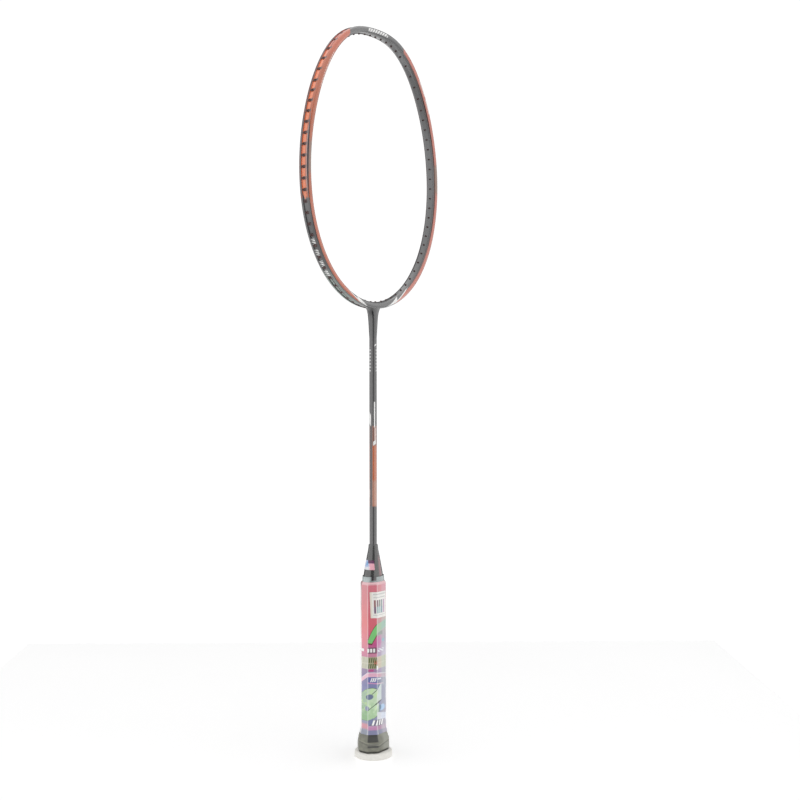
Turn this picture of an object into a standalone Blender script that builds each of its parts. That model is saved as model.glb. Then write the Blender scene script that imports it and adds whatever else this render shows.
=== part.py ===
"""Badminton racket without strings: a hollow moulded head with its string grommets, a T joint, a tubular shaft, a cone,
a wooden handle with its butt cap and grip, a printed film sleeve round the grip, and two labels.

Metres, +Z up along the shaft to the head. The origin is the centre of the butt's flat bottom face, the racket's plane
is XZ, and the front of the head faces -Y. "Arc" is a distance along the head's centre line, from the top of the head
round to +X; negative arcs run round to -X. "Out" is a distance from the centre line, away from the head's middle.
"""

import bisect
import math

import bmesh
import bpy
from mathutils import Matrix, Vector

MM = 0.001
GAP = 0.3 * MM  # between faces that touch on the real racket

# Head
LENGTH = 675 * MM
TUBE_DEPTH = 6.3 * MM  # across the tube, in the racket's plane
TUBE_HEIGHT = 11.8 * MM  # the frame's thickness, along Y
WIDTH_WAVES = (88.8 * MM, -21.7 * MM, 1.75 * MM)  # sines of one, two and three times the turn give the oval's x
HEIGHT_WAVES = (127.0 * MM, -25.4 * MM, -1.1 * MM)  # and cosines give its z
HEAD_MIDDLE = LENGTH - TUBE_DEPTH / 2 - sum(HEIGHT_WAVES)
HEAD_STATIONS = 96
CAVITY_STATIONS = 60
GROOVE_DEPTH = 1.0 * MM
GROOVE_WIDTH = 4.4 * MM
WALL = 0.9 * MM

# String holes of one side, from the top down: how many, and how far apart along the arc
FIRST_HOLE = 4.1 * MM
HOLE_RUNS = ((6, 8.6 * MM), (5, 11.9 * MM), (15, 9.78 * MM), (3, 11.1 * MM), (3, 9.9 * MM), (4, 8.4 * MM))
HOLE_RADIUS = 1.45 * MM
SPLAY = math.radians(15)  # the two holes beside the T lean out, clear of the shaft's socket
SPOT_RADIUS = 2.35 * MM
SPOT_LENGTH = 9.0 * MM

# Grommets
SLEEVE_RADIUS = 1.1 * MM
SLEEVE_BORE = 0.62 * MM
SLEEVE_STAND = 0.8 * MM  # how far a sleeve stands into the head
FLANGE_RADIUS = 1.95 * MM
FLANGE_THICKNESS = 0.55 * MM
GROMMET_SIDES = 6
HOLES_IN_STRIP = 8
STRIP_WIDTH = 2.2 * MM
RUNNER_INSET = 0.1 * MM  # how much thinner a strip's runner is than its flanges, on each face

# T joint
YOKE_BOTTOM = 390 * MM
YOKE_RINGS = (  # height, half width, half thickness
    (390 * MM, 3.58 * MM, 3.58 * MM),
    (393 * MM, 3.73 * MM, 3.75 * MM),
    (400 * MM, 4.05 * MM, 4.1 * MM),
    (407 * MM, 4.55 * MM, 4.5 * MM),
    (411.5 * MM, 5.3 * MM, 4.8 * MM),
    (415 * MM, 6.7 * MM, 5.1 * MM),
    (417.8 * MM, 9.0 * MM, 5.2 * MM),
    (420.4 * MM, 11.5 * MM, 4.9 * MM),
)
SOCKET_RADIUS = 3.05 * MM
SOCKET_TOP = 412.3 * MM
STEM_RADIUS = 1.7 * MM
STEM_BOTTOM = 396 * MM
FOOT_REACH = 10 * MM

# Shaft
SHAFT_RADIUS = 3.45 * MM
SPIGOT_RADIUS = 2.75 * MM
SHAFT_BORE = 2.05 * MM
SHAFT_BOTTOM = 66 * MM
SHAFT_SIDES = 24

# Cone: height, half width, half thickness
CONE_RINGS = (
    (160.6 * MM, 11.2 * MM, 8.6 * MM),
    (165 * MM, 10.6 * MM, 8.4 * MM),
    (168.4 * MM, 10.0 * MM, 8.2 * MM),
    (175.7 * MM, 8.2 * MM, 7.25 * MM),
    (183 * MM, 6.45 * MM, 6.2 * MM),
    (190.3 * MM, 4.9 * MM, 4.85 * MM),
    (195.4 * MM, 4.3 * MM, 4.3 * MM),
)
CONE_WALL = 1.1 * MM
CONE_HOLLOW_TOP = 186 * MM
CONE_SIDES = 24

# Handle: the film sleeve's outline is the largest, and what lies inside it is measured from it
HANDLE_HALF_X = 13.05 * MM
HANDLE_HALF_Y = 9.85 * MM
HANDLE_CHAMFER = 6.15 * MM
CORNER = 0.9 * MM  # how far each corner of the octagon is cut back, to round it
FACET_STEPS = 3  # points along each flat where the octagon meets something round
FILM_THICKNESS = 0.25 * MM
GRIP_OFFSET = -(FILM_THICKNESS + GAP)
GRIP_THICKNESS = 1.6 * MM
CORE_OFFSET = GRIP_OFFSET - GRIP_THICKNESS - GAP
HANDLE_TOP = CONE_RINGS[0][0] - GAP
CORE_BOTTOM = 4.5 * MM
GRIP_BOTTOM = 1.6 * MM
FLARE = (  # height, and the grip's offset from the film sleeve's outline
    (GRIP_BOTTOM, 2.7 * MM),
    (3.5 * MM, 3.2 * MM),
    (7.5 * MM, 3.25 * MM),
    (10.9 * MM, 2.8 * MM),
    (14.5 * MM, 1.6 * MM),
    (17.5 * MM, 0.7 * MM),
    (21 * MM, -0.1 * MM),
    (25 * MM, GRIP_OFFSET),
)
CAP_TOP = 15.5 * MM
CAP_BEVEL = 1.0 * MM
FILM_BOTTOM = 17.5 * MM

# Labels
LABEL_BOTTOM = 128.2 * MM
LABEL_TOP = 152.7 * MM
LABEL_THICKNESS = 0.2 * MM
STICKER_BOTTOM = 172.5 * MM
STICKER_TOP = 181.2 * MM
STICKER_FIRST_SIDE = 9  # of the cone's sides
STICKER_SIDES = 6


def material(name, colour, roughness, metallic=0.0, alpha=1.0):
    """A Principled material; asked for twice, it is made once."""
    made = bpy.data.materials.get(name)
    if made:
        return made
    made = bpy.data.materials.new(name)
    made.use_nodes = True
    shader = made.node_tree.nodes["Principled BSDF"]
    shader.inputs["Base Color"].default_value = (*colour, 1.0)
    shader.inputs["Roughness"].default_value = roughness
    shader.inputs["Metallic"].default_value = metallic
    shader.inputs["Alpha"].default_value = alpha
    made.diffuse_color = (*colour, alpha)
    return made


def lacquer():
    return material("frame_lacquer", (0.045, 0.045, 0.048), 0.32)


def nylon():
    return material("grommet_nylon", (0.02, 0.02, 0.022), 0.5)


# Bodies


def add_object(name, mesh, look):
    """Put a mesh into the scene as a named object, shaded smooth apart from its sharp edges."""
    if look and not mesh.materials:
        mesh.materials.append(look)
    mesh.shade_smooth()
    mesh.set_sharp_from_angle(angle=math.radians(35))
    item = bpy.data.objects.new(name, mesh)
    bpy.context.scene.collection.objects.link(item)
    return item


def skin(bm, rings, loop):
    """Faces between each ring and the next. A loop joins the last ring to the first, else both ends are capped."""
    verts = [[bm.verts.new(point) for point in ring] for ring in rings]
    pairs = list(zip(verts, verts[1:]))
    if loop:
        pairs.append((verts[-1], verts[0]))
    for first, second in pairs:
        for i in range(len(first)):
            j = (i + 1) % len(first)
            bm.faces.new((first[i], first[j], second[j], second[i]))
    if not loop:
        bm.faces.new(verts[0])
        bm.faces.new(verts[-1])


def body_mesh(name, bodies, loop=False):
    """One mesh from a list of bodies, each a list of rings."""
    bm = bmesh.new()
    for rings in bodies:
        skin(bm, rings, loop)
    bmesh.ops.recalc_face_normals(bm, faces=bm.faces)
    mesh = bpy.data.meshes.new(name)
    bm.to_mesh(mesh)
    bm.free()
    return mesh


def body(name, rings, look, loop=False):
    return add_object(name, body_mesh(name, [rings], loop), look)


def combine(item, operation, bodies, loop=False):
    """Union or cut an object with hidden bodies."""
    tool_name = f"{item.name}_{operation.lower()}_{len(item.modifiers)}"
    tool = add_object(tool_name, body_mesh(tool_name, bodies, loop), None)
    tool.hide_render = True
    tool.display_type = "WIRE"
    step = item.modifiers.new(operation.title(), "BOOLEAN")
    step.operation = operation
    step.solver = "EXACT"
    step.object = tool


# Outlines


def oval(height, half_x, half_y, sides):
    return [
        Vector((half_x * math.cos(turn), half_y * math.sin(turn), height))
        for turn in (2 * math.pi * i / sides for i in range(sides))
    ]


def octagon(height, offset, steps=1):
    """The handle's octagon, moved outwards by offset, with each corner cut once: points from +X round by +Y.

    The first point and every second one after it end a corner, and the flat that follows has the given steps.
    """
    half_x, half_y = HANDLE_HALF_X + offset, HANDLE_HALF_Y + offset
    chamfer = HANDLE_CHAMFER + (2 - math.sqrt(2)) * offset
    quarter = [
        Vector((half_x, half_y - chamfer)),
        Vector((half_x - chamfer, half_y)),
    ]
    along_side, along_chamfer = Vector((0, 1)), Vector((-1, 1)).normalized()
    corners = [
        quarter[0] - CORNER * along_side,
        quarter[0] + CORNER * along_chamfer,
        quarter[1] - CORNER * along_chamfer,
        quarter[1] + CORNER * Vector((-1, 0)),
    ]
    points = corners
    points = points + [Vector((-p.x, p.y)) for p in reversed(points)]
    points = points + [Vector((-p.x, -p.y)) for p in points]
    points = [Vector((p.x, p.y, height)) for p in points]
    ring = []
    for i, start in enumerate(points):
        end = points[(i + 1) % len(points)]
        flat = i % 2 == 1
        ring += [start.lerp(end, step / steps) for step in range(steps)] if flat else [start]
    return ring


def round_to_octagon(height, half_x, half_y, steps):
    """An oval with its points where the octagon has its own, so that the two can be skinned together."""
    return [
        Vector((half_x * math.cos(turn), half_y * math.sin(turn), height))
        for turn in (math.atan2(p.y, p.x) for p in octagon(height, 0, steps))
    ]


# The head's centre line


def oval_point(turn):
    x = sum(wave * math.sin((k + 1) * turn) for k, wave in enumerate(WIDTH_WAVES))
    z = sum(wave * math.cos((k + 1) * turn) for k, wave in enumerate(HEIGHT_WAVES))
    return Vector((x, 0, HEAD_MIDDLE + z))


def oval_normal(turn):
    """The direction out of the head, square to the centre line."""
    dx = sum((k + 1) * wave * math.cos((k + 1) * turn) for k, wave in enumerate(WIDTH_WAVES))
    dz = -sum((k + 1) * wave * math.sin((k + 1) * turn) for k, wave in enumerate(HEIGHT_WAVES))
    return Vector((-dz, 0, dx)).normalized()


def measure_oval(steps=3600):
    """Turns and the arc reached at each, over half of the head."""
    turns = [math.pi * i / steps for i in range(steps + 1)]
    arcs = [0.0]
    for start, end in zip(turns, turns[1:]):
        arcs.append(arcs[-1] + (oval_point(end) - oval_point(start)).length)
    return turns, arcs


TURNS, ARCS = measure_oval()
HALF_ARC = ARCS[-1]


def turn_at(arc):
    """The turn, from 0 at the top of the head, that an arc reaches."""
    side = math.copysign(1, arc)
    arc = abs(arc)
    if arc > HALF_ARC:
        return side * (2 * math.pi - abs(turn_at(2 * HALF_ARC - arc)))
    upper = min(max(bisect.bisect_left(ARCS, arc), 1), len(ARCS) - 1)
    share = (arc - ARCS[upper - 1]) / (ARCS[upper] - ARCS[upper - 1])
    return side * (TURNS[upper - 1] + share * (TURNS[upper] - TURNS[upper - 1]))


def section(arc, outline):
    """An outline of (out, y) points, stood across the centre line at an arc."""
    turn = turn_at(arc)
    centre, normal = oval_point(turn), oval_normal(turn)
    return [centre + out * normal + Vector((0, y, 0)) for out, y in outline]


def mirrored(half):
    """A closed outline from its half with y above 0."""
    return list(half) + [(out, -y) for out, y in reversed(half)]


TUBE_OUT, TUBE_Y = TUBE_DEPTH / 2, TUBE_HEIGHT / 2
FLOOR_OUT = TUBE_OUT - GROOVE_DEPTH
TUBE_OUTLINE = mirrored(
    (
        (TUBE_OUT, 0.5 * TUBE_Y),
        (0.80 * TUBE_OUT, 0.82 * TUBE_Y),
        (0.15 * TUBE_OUT, TUBE_Y),
        (-0.70 * TUBE_OUT, 0.84 * TUBE_Y),
        (-TUBE_OUT, 0.38 * TUBE_Y),
    )
)
CAVITY_OUTLINE = mirrored(
    (
        (FLOOR_OUT - WALL, 0.5 * TUBE_Y),
        (0.0, TUBE_Y - WALL),
        (-TUBE_OUT + WALL, 0.42 * TUBE_Y),
    )
)
GROOVE_OUTLINE = mirrored(((FLOOR_OUT, GROOVE_WIDTH / 2), (TUBE_OUT + GROOVE_DEPTH, GROOVE_WIDTH / 2)))


def full_circle(stations, outline):
    return [section(2 * HALF_ARC * i / stations - HALF_ARC, outline) for i in range(stations)]


def stretch(start, end, steps, outline):
    return [section(start + (end - start) * i / steps, outline) for i in range(steps + 1)]


# String holes and grommets


def hole_arcs():
    """Arcs of one side's holes, from the top down."""
    arcs = []
    for count, pitch in HOLE_RUNS:
        for _ in range(count):
            arcs.append(arcs[-1] + pitch if arcs else FIRST_HOLE)
    return arcs


HOLES = hole_arcs()


def hole_place(number, side):
    """Matrix at a hole's middle with its Z out of the head. Holes count from the top; side is -1 or 1."""
    turn = turn_at(side * HOLES[number])
    out = oval_normal(turn)
    if number == len(HOLES) - 1:
        out = Matrix.Rotation(-side * SPLAY, 3, "Y") @ out
    across = Vector((0, 1, 0))
    place = Matrix((across.cross(out), across, out)).transposed().to_4x4()
    place.translation = oval_point(turn)
    return place


def turned(profile, place=Matrix(), sides=GROMMET_SIDES):
    """Rings of a profile of (radius, height) points turned about a hole's axis."""
    return [[place @ point for point in oval(height, radius, radius, sides)] for radius, height in profile]


def drill(number, side):
    """The tool that cuts one string hole; beside the T it also cuts a spot face for the flange."""
    ends = (-2 * TUBE_OUT, 2 * TUBE_OUT)
    profile = [(HOLE_RADIUS, ends[0]), (HOLE_RADIUS, ends[1])]
    if number == len(HOLES) - 1:
        profile = [
            (HOLE_RADIUS, ends[0]),
            (HOLE_RADIUS, FLOOR_OUT),
            (SPOT_RADIUS, FLOOR_OUT),
            (SPOT_RADIUS, FLOOR_OUT + SPOT_LENGTH),
        ]
    return turned(profile, hole_place(number, side))


FLANGE_BOTTOM = FLOOR_OUT + GAP
FLANGE_TOP = FLANGE_BOTTOM + FLANGE_THICKNESS
SLEEVE_END = -(TUBE_OUT + SLEEVE_STAND)
GROMMET_PROFILE = (
    (SLEEVE_RADIUS, SLEEVE_END),
    (SLEEVE_RADIUS, FLANGE_BOTTOM),
    (FLANGE_RADIUS, FLANGE_BOTTOM),
    (FLANGE_RADIUS, FLANGE_TOP),
)
BORE_PROFILE = ((SLEEVE_BORE, FLANGE_TOP), (SLEEVE_BORE, SLEEVE_END))


def make_single_grommets():
    """The grommets along the sides of the head, each a separate piece; all share one mesh."""
    mesh = body_mesh("grommet", [turned(GROMMET_PROFILE + BORE_PROFILE)], loop=True)
    singles = range(HOLES_IN_STRIP, len(HOLES) - HOLES_IN_STRIP)
    for side, side_name in ((-1, "left"), (1, "right")):
        for count, number in enumerate(singles, start=1):
            grommet = add_object(f"grommet_{side_name}_{count:02d}", mesh, nylon())
            grommet.matrix_world = hole_place(number, side)


def make_strip(name, numbers, side):
    """Grommets moulded in one piece with a thin runner that lies in the groove."""
    numbers = list(numbers)
    runner = mirrored(
        (
            (FLANGE_BOTTOM + RUNNER_INSET, STRIP_WIDTH / 2),
            (FLANGE_TOP - RUNNER_INSET, STRIP_WIDTH / 2),
        )
    )
    ends = [side * HOLES[numbers[0]], side * HOLES[numbers[-1]]]
    strip = body(name, stretch(*ends, 2 * (len(numbers) - 1), runner), nylon())
    places = [hole_place(number, side) for number in numbers]
    combine(strip, "UNION", [turned(GROMMET_PROFILE, place) for place in places])
    bore = ((SLEEVE_BORE, FLANGE_TOP + TUBE_OUT), (SLEEVE_BORE, SLEEVE_END - TUBE_OUT))
    combine(strip, "DIFFERENCE", [turned(bore, place) for place in places])


def make_strips():
    for side, side_name in ((-1, "left"), (1, "right")):
        make_strip(f"grommet_strip_top_{side_name}", range(HOLES_IN_STRIP), side)
        last = len(HOLES)
        make_strip(f"grommet_strip_throat_{side_name}", range(last - HOLES_IN_STRIP, last), side)


# Head, T joint and shaft


def make_head_frame():
    """The moulded carbon tube of the head with its yoke, grooved and drilled for the grommets."""
    frame = body("head_frame", full_circle(HEAD_STATIONS, TUBE_OUTLINE), lacquer(), loop=True)
    combine(frame, "UNION", [[oval(height, x, y, 16) for height, x, y in YOKE_RINGS]])
    combine(frame, "DIFFERENCE", [full_circle(CAVITY_STATIONS, CAVITY_OUTLINE)], loop=True)
    groove_end = HALF_ARC - SLEEVE_RADIUS - SOCKET_RADIUS / 2
    combine(frame, "DIFFERENCE", [stretch(-groove_end, groove_end, HEAD_STATIONS, GROOVE_OUTLINE)])
    passage = STEM_RADIUS + GAP
    socket = (
        (SOCKET_RADIUS, YOKE_BOTTOM - GAP),
        (SOCKET_RADIUS, SOCKET_TOP),
        (passage, SOCKET_TOP),
        (passage, HEAD_BOTTOM),
    )
    holes = [drill(number, side) for number in range(len(HOLES)) for side in (-1, 1)]
    combine(frame, "DIFFERENCE", holes + [turned(socket, sides=16)])


HEAD_BOTTOM = oval_point(math.pi).z


def make_t_joint():
    """The insert that ties the head to the shaft: a curved foot inside the tube and a stem inside the shaft."""
    foot_outline = mirrored(
        (
            (FLOOR_OUT - WALL - GAP, 0.42 * TUBE_Y),
            (0.0, TUBE_Y - WALL - 2 * GAP),
            (-TUBE_OUT + WALL + GAP, 0.34 * TUBE_Y),
        )
    )
    foot = stretch(HALF_ARC - FOOT_REACH, HALF_ARC + FOOT_REACH, 6, foot_outline)
    look = material("t_joint_composite", (0.10, 0.10, 0.11), 0.6)
    joint = body("t_joint", foot, look)
    stem = ((STEM_RADIUS, STEM_BOTTOM), (STEM_RADIUS, HEAD_BOTTOM))
    combine(joint, "UNION", [turned(stem, sides=16)])
    clearance = ((SLEEVE_RADIUS + GAP, -2 * TUBE_OUT), (SLEEVE_RADIUS + GAP, 2 * TUBE_OUT))
    last = len(HOLES) - 1
    combine(joint, "DIFFERENCE", [turned(clearance, hole_place(last, side)) for side in (-1, 1)])


def make_shaft():
    """A carbon tube, necked down at the top where it enters the yoke, so that the outside runs on flush."""
    profile = (
        (SHAFT_RADIUS, SHAFT_BOTTOM),
        (SHAFT_RADIUS, YOKE_BOTTOM - GAP),
        (SPIGOT_RADIUS, YOKE_BOTTOM - GAP),
        (SPIGOT_RADIUS, SOCKET_TOP - GAP),
        (SHAFT_BORE, SOCKET_TOP - GAP),
        (SHAFT_BORE, SHAFT_BOTTOM),
    )
    body("shaft", turned(profile, sides=SHAFT_SIDES), lacquer(), loop=True)


# Handle


def make_cone():
    """A thin cap: round where it holds the shaft, oval where it covers the end of the handle."""
    outer = [oval(height, x, y, CONE_SIDES) for height, x, y in CONE_RINGS]
    inside = [(height, x - CONE_WALL, y - CONE_WALL) for height, x, y in CONE_RINGS if height < CONE_HOLLOW_TOP]
    inner = [oval(height, x, y, CONE_SIDES) for height, x, y in reversed(inside)]
    bore = SHAFT_RADIUS + GAP
    throat = [oval(height, bore, bore, CONE_SIDES) for height in (CONE_RINGS[-1][0], CONE_HOLLOW_TOP)]
    look = material("cone_gloss", (0.03, 0.03, 0.032), 0.12)
    body("cone", outer + throat + inner, look, loop=True)


def make_handle_core():
    """The wooden handle, bored for the shaft."""
    bore = [
        round_to_octagon(height, SHAFT_RADIUS + GAP, SHAFT_RADIUS + GAP, FACET_STEPS)
        for height in (HANDLE_TOP, SHAFT_BOTTOM - GAP)
    ]
    outer = [octagon(height, CORE_OFFSET, FACET_STEPS) for height in (CORE_BOTTOM, HANDLE_TOP)]
    body("handle_core", outer + bore, material("handle_wood", (0.55, 0.36, 0.18), 0.6))


def flare_at(height):
    """The grip's outer offset at a height."""
    for (low, low_offset), (high, high_offset) in zip(FLARE, FLARE[1:]):
        if low <= height <= high:
            return low_offset + (high_offset - low_offset) * (height - low) / (high - low)
    return GRIP_OFFSET


def make_butt_cap():
    """The flared plastic end of the handle. The core stands in it and the grip is wrapped over it."""
    under_grip = GRIP_THICKNESS + GAP
    rim = flare_at(GRIP_BOTTOM)
    outer = [octagon(0, rim - CAP_BEVEL), octagon(GRIP_BOTTOM - GAP, rim)]
    outer += [octagon(GRIP_BOTTOM - GAP, rim - under_grip)]
    heights = [height for height, _ in FLARE[1:] if height < CAP_TOP] + [CAP_TOP]
    outer += [octagon(height, flare_at(height) - under_grip) for height in heights]
    inner = [octagon(height, CORE_OFFSET + GAP) for height in (CAP_TOP, CORE_BOTTOM - GAP)]
    body("butt_cap", outer + inner, material("butt_cap_plastic", (0.035, 0.035, 0.03), 0.45))


def make_grip():
    """The cushioned wrap, as one sleeve that follows the handle and flares over the butt cap."""
    outer = [octagon(height, offset) for height, offset in FLARE] + [octagon(HANDLE_TOP, GRIP_OFFSET)]
    inner = [octagon(HANDLE_TOP, GRIP_OFFSET - GRIP_THICKNESS)]
    inner += [octagon(height, offset - GRIP_THICKNESS) for height, offset in reversed(FLARE)]
    body("grip", outer + inner, material("grip_polyurethane", (0.17, 0.17, 0.14), 0.75), loop=True)


def make_film_sleeve():
    """The thin shrunk sleeve over the grip, drawn in over the foot of the cone."""
    def layer(inset):
        heights = [height for height, _ in FLARE if height >= FILM_BOTTOM]
        rings = [octagon(height, flare_at(height) - GRIP_OFFSET - inset, FACET_STEPS) for height in heights]
        rings.append(octagon(HANDLE_TOP + GAP + FILM_THICKNESS - inset, -inset, FACET_STEPS))
        grow = 2 * GAP + FILM_THICKNESS - inset
        for height, x, y in CONE_RINGS[:2]:
            rings.append(round_to_octagon(height + 4 * GAP, x + grow, y + grow, FACET_STEPS))
        return rings

    look = material("film", (0.62, 0.35, 0.42), 0.2, alpha=0.9)
    body("film_sleeve", layer(0) + layer(FILM_THICKNESS)[::-1], look, loop=True)


# Labels


def make_film_label():
    """A paper label stuck to the sleeve over its front facet and the one beside it."""
    near, far = GAP, GAP + LABEL_THICKNESS

    def outline(height):
        points = []
        for offset in (near, far):
            corners = octagon(height, offset)[9:14]
            start = corners[0].lerp(corners[1], 0.1)
            points.append([start] + corners[1:4] + [corners[3].lerp(corners[4], 0.3)])
        return points[0] + points[1][::-1]

    look = material("label_paper", (0.82, 0.82, 0.82), 0.4)
    body("film_label", [outline(LABEL_BOTTOM), outline(LABEL_TOP)], look)


def cone_at(height):
    """The cone's half width and half thickness at a height."""
    for (low, low_x, low_y), (high, high_x, high_y) in zip(CONE_RINGS, CONE_RINGS[1:]):
        if low <= height <= high:
            share = (height - low) / (high - low)
            return low_x + share * (high_x - low_x), low_y + share * (high_y - low_y)
    return CONE_RINGS[-1][1:]


def make_cone_sticker():
    """A small sticker on the -X side of the cone, flat against its facets."""
    def outline(height):
        half_x, half_y = cone_at(height)
        points = []
        for grow in (GAP, GAP + LABEL_THICKNESS):
            ring = oval(height, half_x + grow, half_y + grow, CONE_SIDES)
            points.append(ring[STICKER_FIRST_SIDE:STICKER_FIRST_SIDE + STICKER_SIDES + 1])
        return points[0] + points[1][::-1]

    creases = [height for height, _, _ in CONE_RINGS if STICKER_BOTTOM < height < STICKER_TOP]
    rings = [outline(height) for height in (STICKER_BOTTOM, *creases, STICKER_TOP)]
    body("cone_sticker", rings, material("sticker", (0.75, 0.55, 0.65), 0.3))


def main():
    for old in list(bpy.data.objects):
        bpy.data.objects.remove(old)
    make_head_frame()
    make_single_grommets()
    make_strips()
    make_t_joint()
    make_shaft()
    make_cone()
    make_handle_core()
    make_butt_cap()
    make_grip()
    make_film_sleeve()
    make_film_label()
    make_cone_sticker()


main()
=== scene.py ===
"""The badminton racket's looks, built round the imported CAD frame: fine meshes, paint, light and camera.

Metres, in the CAD's frame: +Z up, the racket's plane is XZ and the front faces -Y. "Arc" is a distance along
the head's centre line, from the top round to +X. "Around" is a distance round a surface, or an azimuth in
degrees where the surface is round. Places in paint are in millimetres.
"""

import bisect
import math

import bmesh
import bpy
from mathutils import Matrix, Vector, noise


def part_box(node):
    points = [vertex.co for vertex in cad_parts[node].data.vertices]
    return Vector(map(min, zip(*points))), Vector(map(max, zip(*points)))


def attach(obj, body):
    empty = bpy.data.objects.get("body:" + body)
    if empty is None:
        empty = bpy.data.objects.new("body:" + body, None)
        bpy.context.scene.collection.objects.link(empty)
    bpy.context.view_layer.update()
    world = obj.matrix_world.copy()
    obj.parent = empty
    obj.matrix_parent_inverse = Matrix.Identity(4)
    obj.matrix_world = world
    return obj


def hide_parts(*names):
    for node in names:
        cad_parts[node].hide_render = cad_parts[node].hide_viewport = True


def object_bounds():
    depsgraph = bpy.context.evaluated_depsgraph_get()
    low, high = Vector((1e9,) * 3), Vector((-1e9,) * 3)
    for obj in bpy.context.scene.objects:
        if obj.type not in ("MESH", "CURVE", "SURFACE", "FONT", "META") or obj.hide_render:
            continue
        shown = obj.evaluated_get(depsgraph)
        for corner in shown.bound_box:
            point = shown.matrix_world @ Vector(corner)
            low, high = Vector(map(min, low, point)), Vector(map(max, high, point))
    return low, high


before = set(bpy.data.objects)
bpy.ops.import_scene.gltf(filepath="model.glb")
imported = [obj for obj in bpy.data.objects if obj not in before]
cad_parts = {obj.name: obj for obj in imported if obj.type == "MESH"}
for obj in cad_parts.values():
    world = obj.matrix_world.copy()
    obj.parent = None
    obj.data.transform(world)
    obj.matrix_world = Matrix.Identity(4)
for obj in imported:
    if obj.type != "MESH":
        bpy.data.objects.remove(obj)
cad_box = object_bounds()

MM = 0.001
GAP = 0.3 * MM  # between faces that touch on the real racket
ROOT = "root"


def in_mm(*rows):
    """Rows of millimetres, in metres."""
    return tuple(tuple(value * MM for value in row) for row in rows)


# Head, as in the CAD
LENGTH = cad_box[1].z
TUBE_DEPTH = 6.3 * MM
TUBE_HEIGHT = 11.8 * MM
WIDTH_WAVES = (88.8 * MM, -21.7 * MM, 1.75 * MM)
HEIGHT_WAVES = (127.0 * MM, -25.4 * MM, -1.1 * MM)
HEAD_MIDDLE = LENGTH - TUBE_DEPTH / 2 - sum(HEIGHT_WAVES)
HEAD_STATIONS = 420
GROOVE_DEPTH = 1.0 * MM
GROOVE_WIDTH = 4.4 * MM
FIRST_HOLE = 4.1 * MM
HOLE_RUNS = ((6, 8.6 * MM), (5, 11.9 * MM), (15, 9.78 * MM), (3, 11.1 * MM), (3, 9.9 * MM), (4, 8.4 * MM))
SPLAY = math.radians(15)
HOLES_IN_STRIP = 8
FLANGE_BOTTOM = TUBE_DEPTH / 2 - GROOVE_DEPTH + GAP
FLANGE_TOP = FLANGE_BOTTOM + 0.55 * MM
SLEEVE_END = -TUBE_DEPTH / 2 - 0.8 * MM
SLEEVE_RADIUS = 1.1 * MM
SLEEVE_BORE = 0.62 * MM
FLANGE_RADIUS = 2.12 * MM
FLANGE_LENGTH = 0.68  # a grommet's size along the groove, as a share of its size across
RUNNER_WIDTH = 2.0 * MM
RUNNER_STEPS = 48
PLUG_RADIUS = 0.9 * MM  # of the holes in a strip's runner, which its grommets fill

# T joint and shaft
YOKE_BOTTOM = 389.65 * MM
YOKE_RINGS = in_mm(  # height, half width, half thickness
    (389.65, 3.46, 3.46),
    (393, 3.66, 3.7),
    (400, 4.05, 4.1),
    (407, 4.55, 4.5),
    (411.5, 5.3, 4.8),
    (415, 6.7, 5.1),
    (417.8, 9.0, 5.2),
    (420.4, 11.8, 4.9),
)
SHAFT_RADIUS = 3.45 * MM
SPIGOT_RADIUS = 2.75 * MM
SHAFT_BORE = 2.05 * MM
SOCKET_RADIUS = 2.8 * MM
SOCKET_TOP = 412.3 * MM
HAIRLINE = 0.05 * MM
SHAFT_BOTTOM = 66 * MM
SHAFT_STEPS = 24

# Points in a ring
GROMMET_SIDES = 20
SOCKET_SIDES = 32
YOKE_SIDES = 48
ROUND_SIDES = 64
CURVE_STEPS = 6  # rows between two given ones

# Cone
CONE_RINGS = in_mm(  # height, half width, half thickness
    (160.6, 11.2, 8.6),
    (165, 10.6, 8.4),
    (168.4, 10.0, 8.2),
    (175.7, 8.2, 7.25),
    (183, 6.45, 6.2),
    (190.3, 4.9, 4.85),
    (195.0, 4.35, 4.35),
)
CONE_LIP = in_mm((195.25, 4.25, 4.25), (195.4, 4.05, 4.05))
CONE_BORE_TOP = 195.3 * MM
CONE_BORE_BOTTOM = 187 * MM
CONE_HOLLOW_TOP = 186 * MM
CONE_WALL = 1.1 * MM

# Handle
HANDLE_HALF_X = 13.05 * MM
HANDLE_HALF_Y = 9.85 * MM
HANDLE_CHAMFER = 6.15 * MM
ROUNDING = 2.2 * MM  # radius of the octagon's corners
ARC_STEPS = 6
FLAT_STEPS = 5
FILM_THICKNESS = 0.25 * MM
FILM_BOTTOM = 17.5 * MM
GRIP_INSET = 0.55 * MM
GRIP_THICKNESS = 1.6 * MM
HANDLE_TOP = 160.3 * MM
GRIP_BOTTOM = 1.6 * MM
GRIP_EDGE = 1.45 * MM  # the lowest point of its rounded edge
FLARE_TOP = 25 * MM
CAP_TOP = 15.5 * MM
CAP_LEDGE = 1.3 * MM
CAP_FLOOR = 4.2 * MM
CAP_INSIDE = -2.15 * MM
FLARE = (  # height, and the grip's offset from the film's outline
    (GRIP_BOTTOM, 2.7 * MM),
    (3.5 * MM, 3.2 * MM),
    (7.5 * MM, 3.25 * MM),
    (10.9 * MM, 2.8 * MM),
    (14.5 * MM, 1.6 * MM),
    (17.5 * MM, 0.7 * MM),
    (21 * MM, -0.1 * MM),
    (FLARE_TOP, -GRIP_INSET),
)

# Camera
CAMERA_PLACE = (-0.92635, -0.70689, 0.38270)
CAMERA_DIRECTION = (0.80716, 0.58871, -0.04385)
LENS = 55.95
SENSOR = 36


# Meshes


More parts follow.
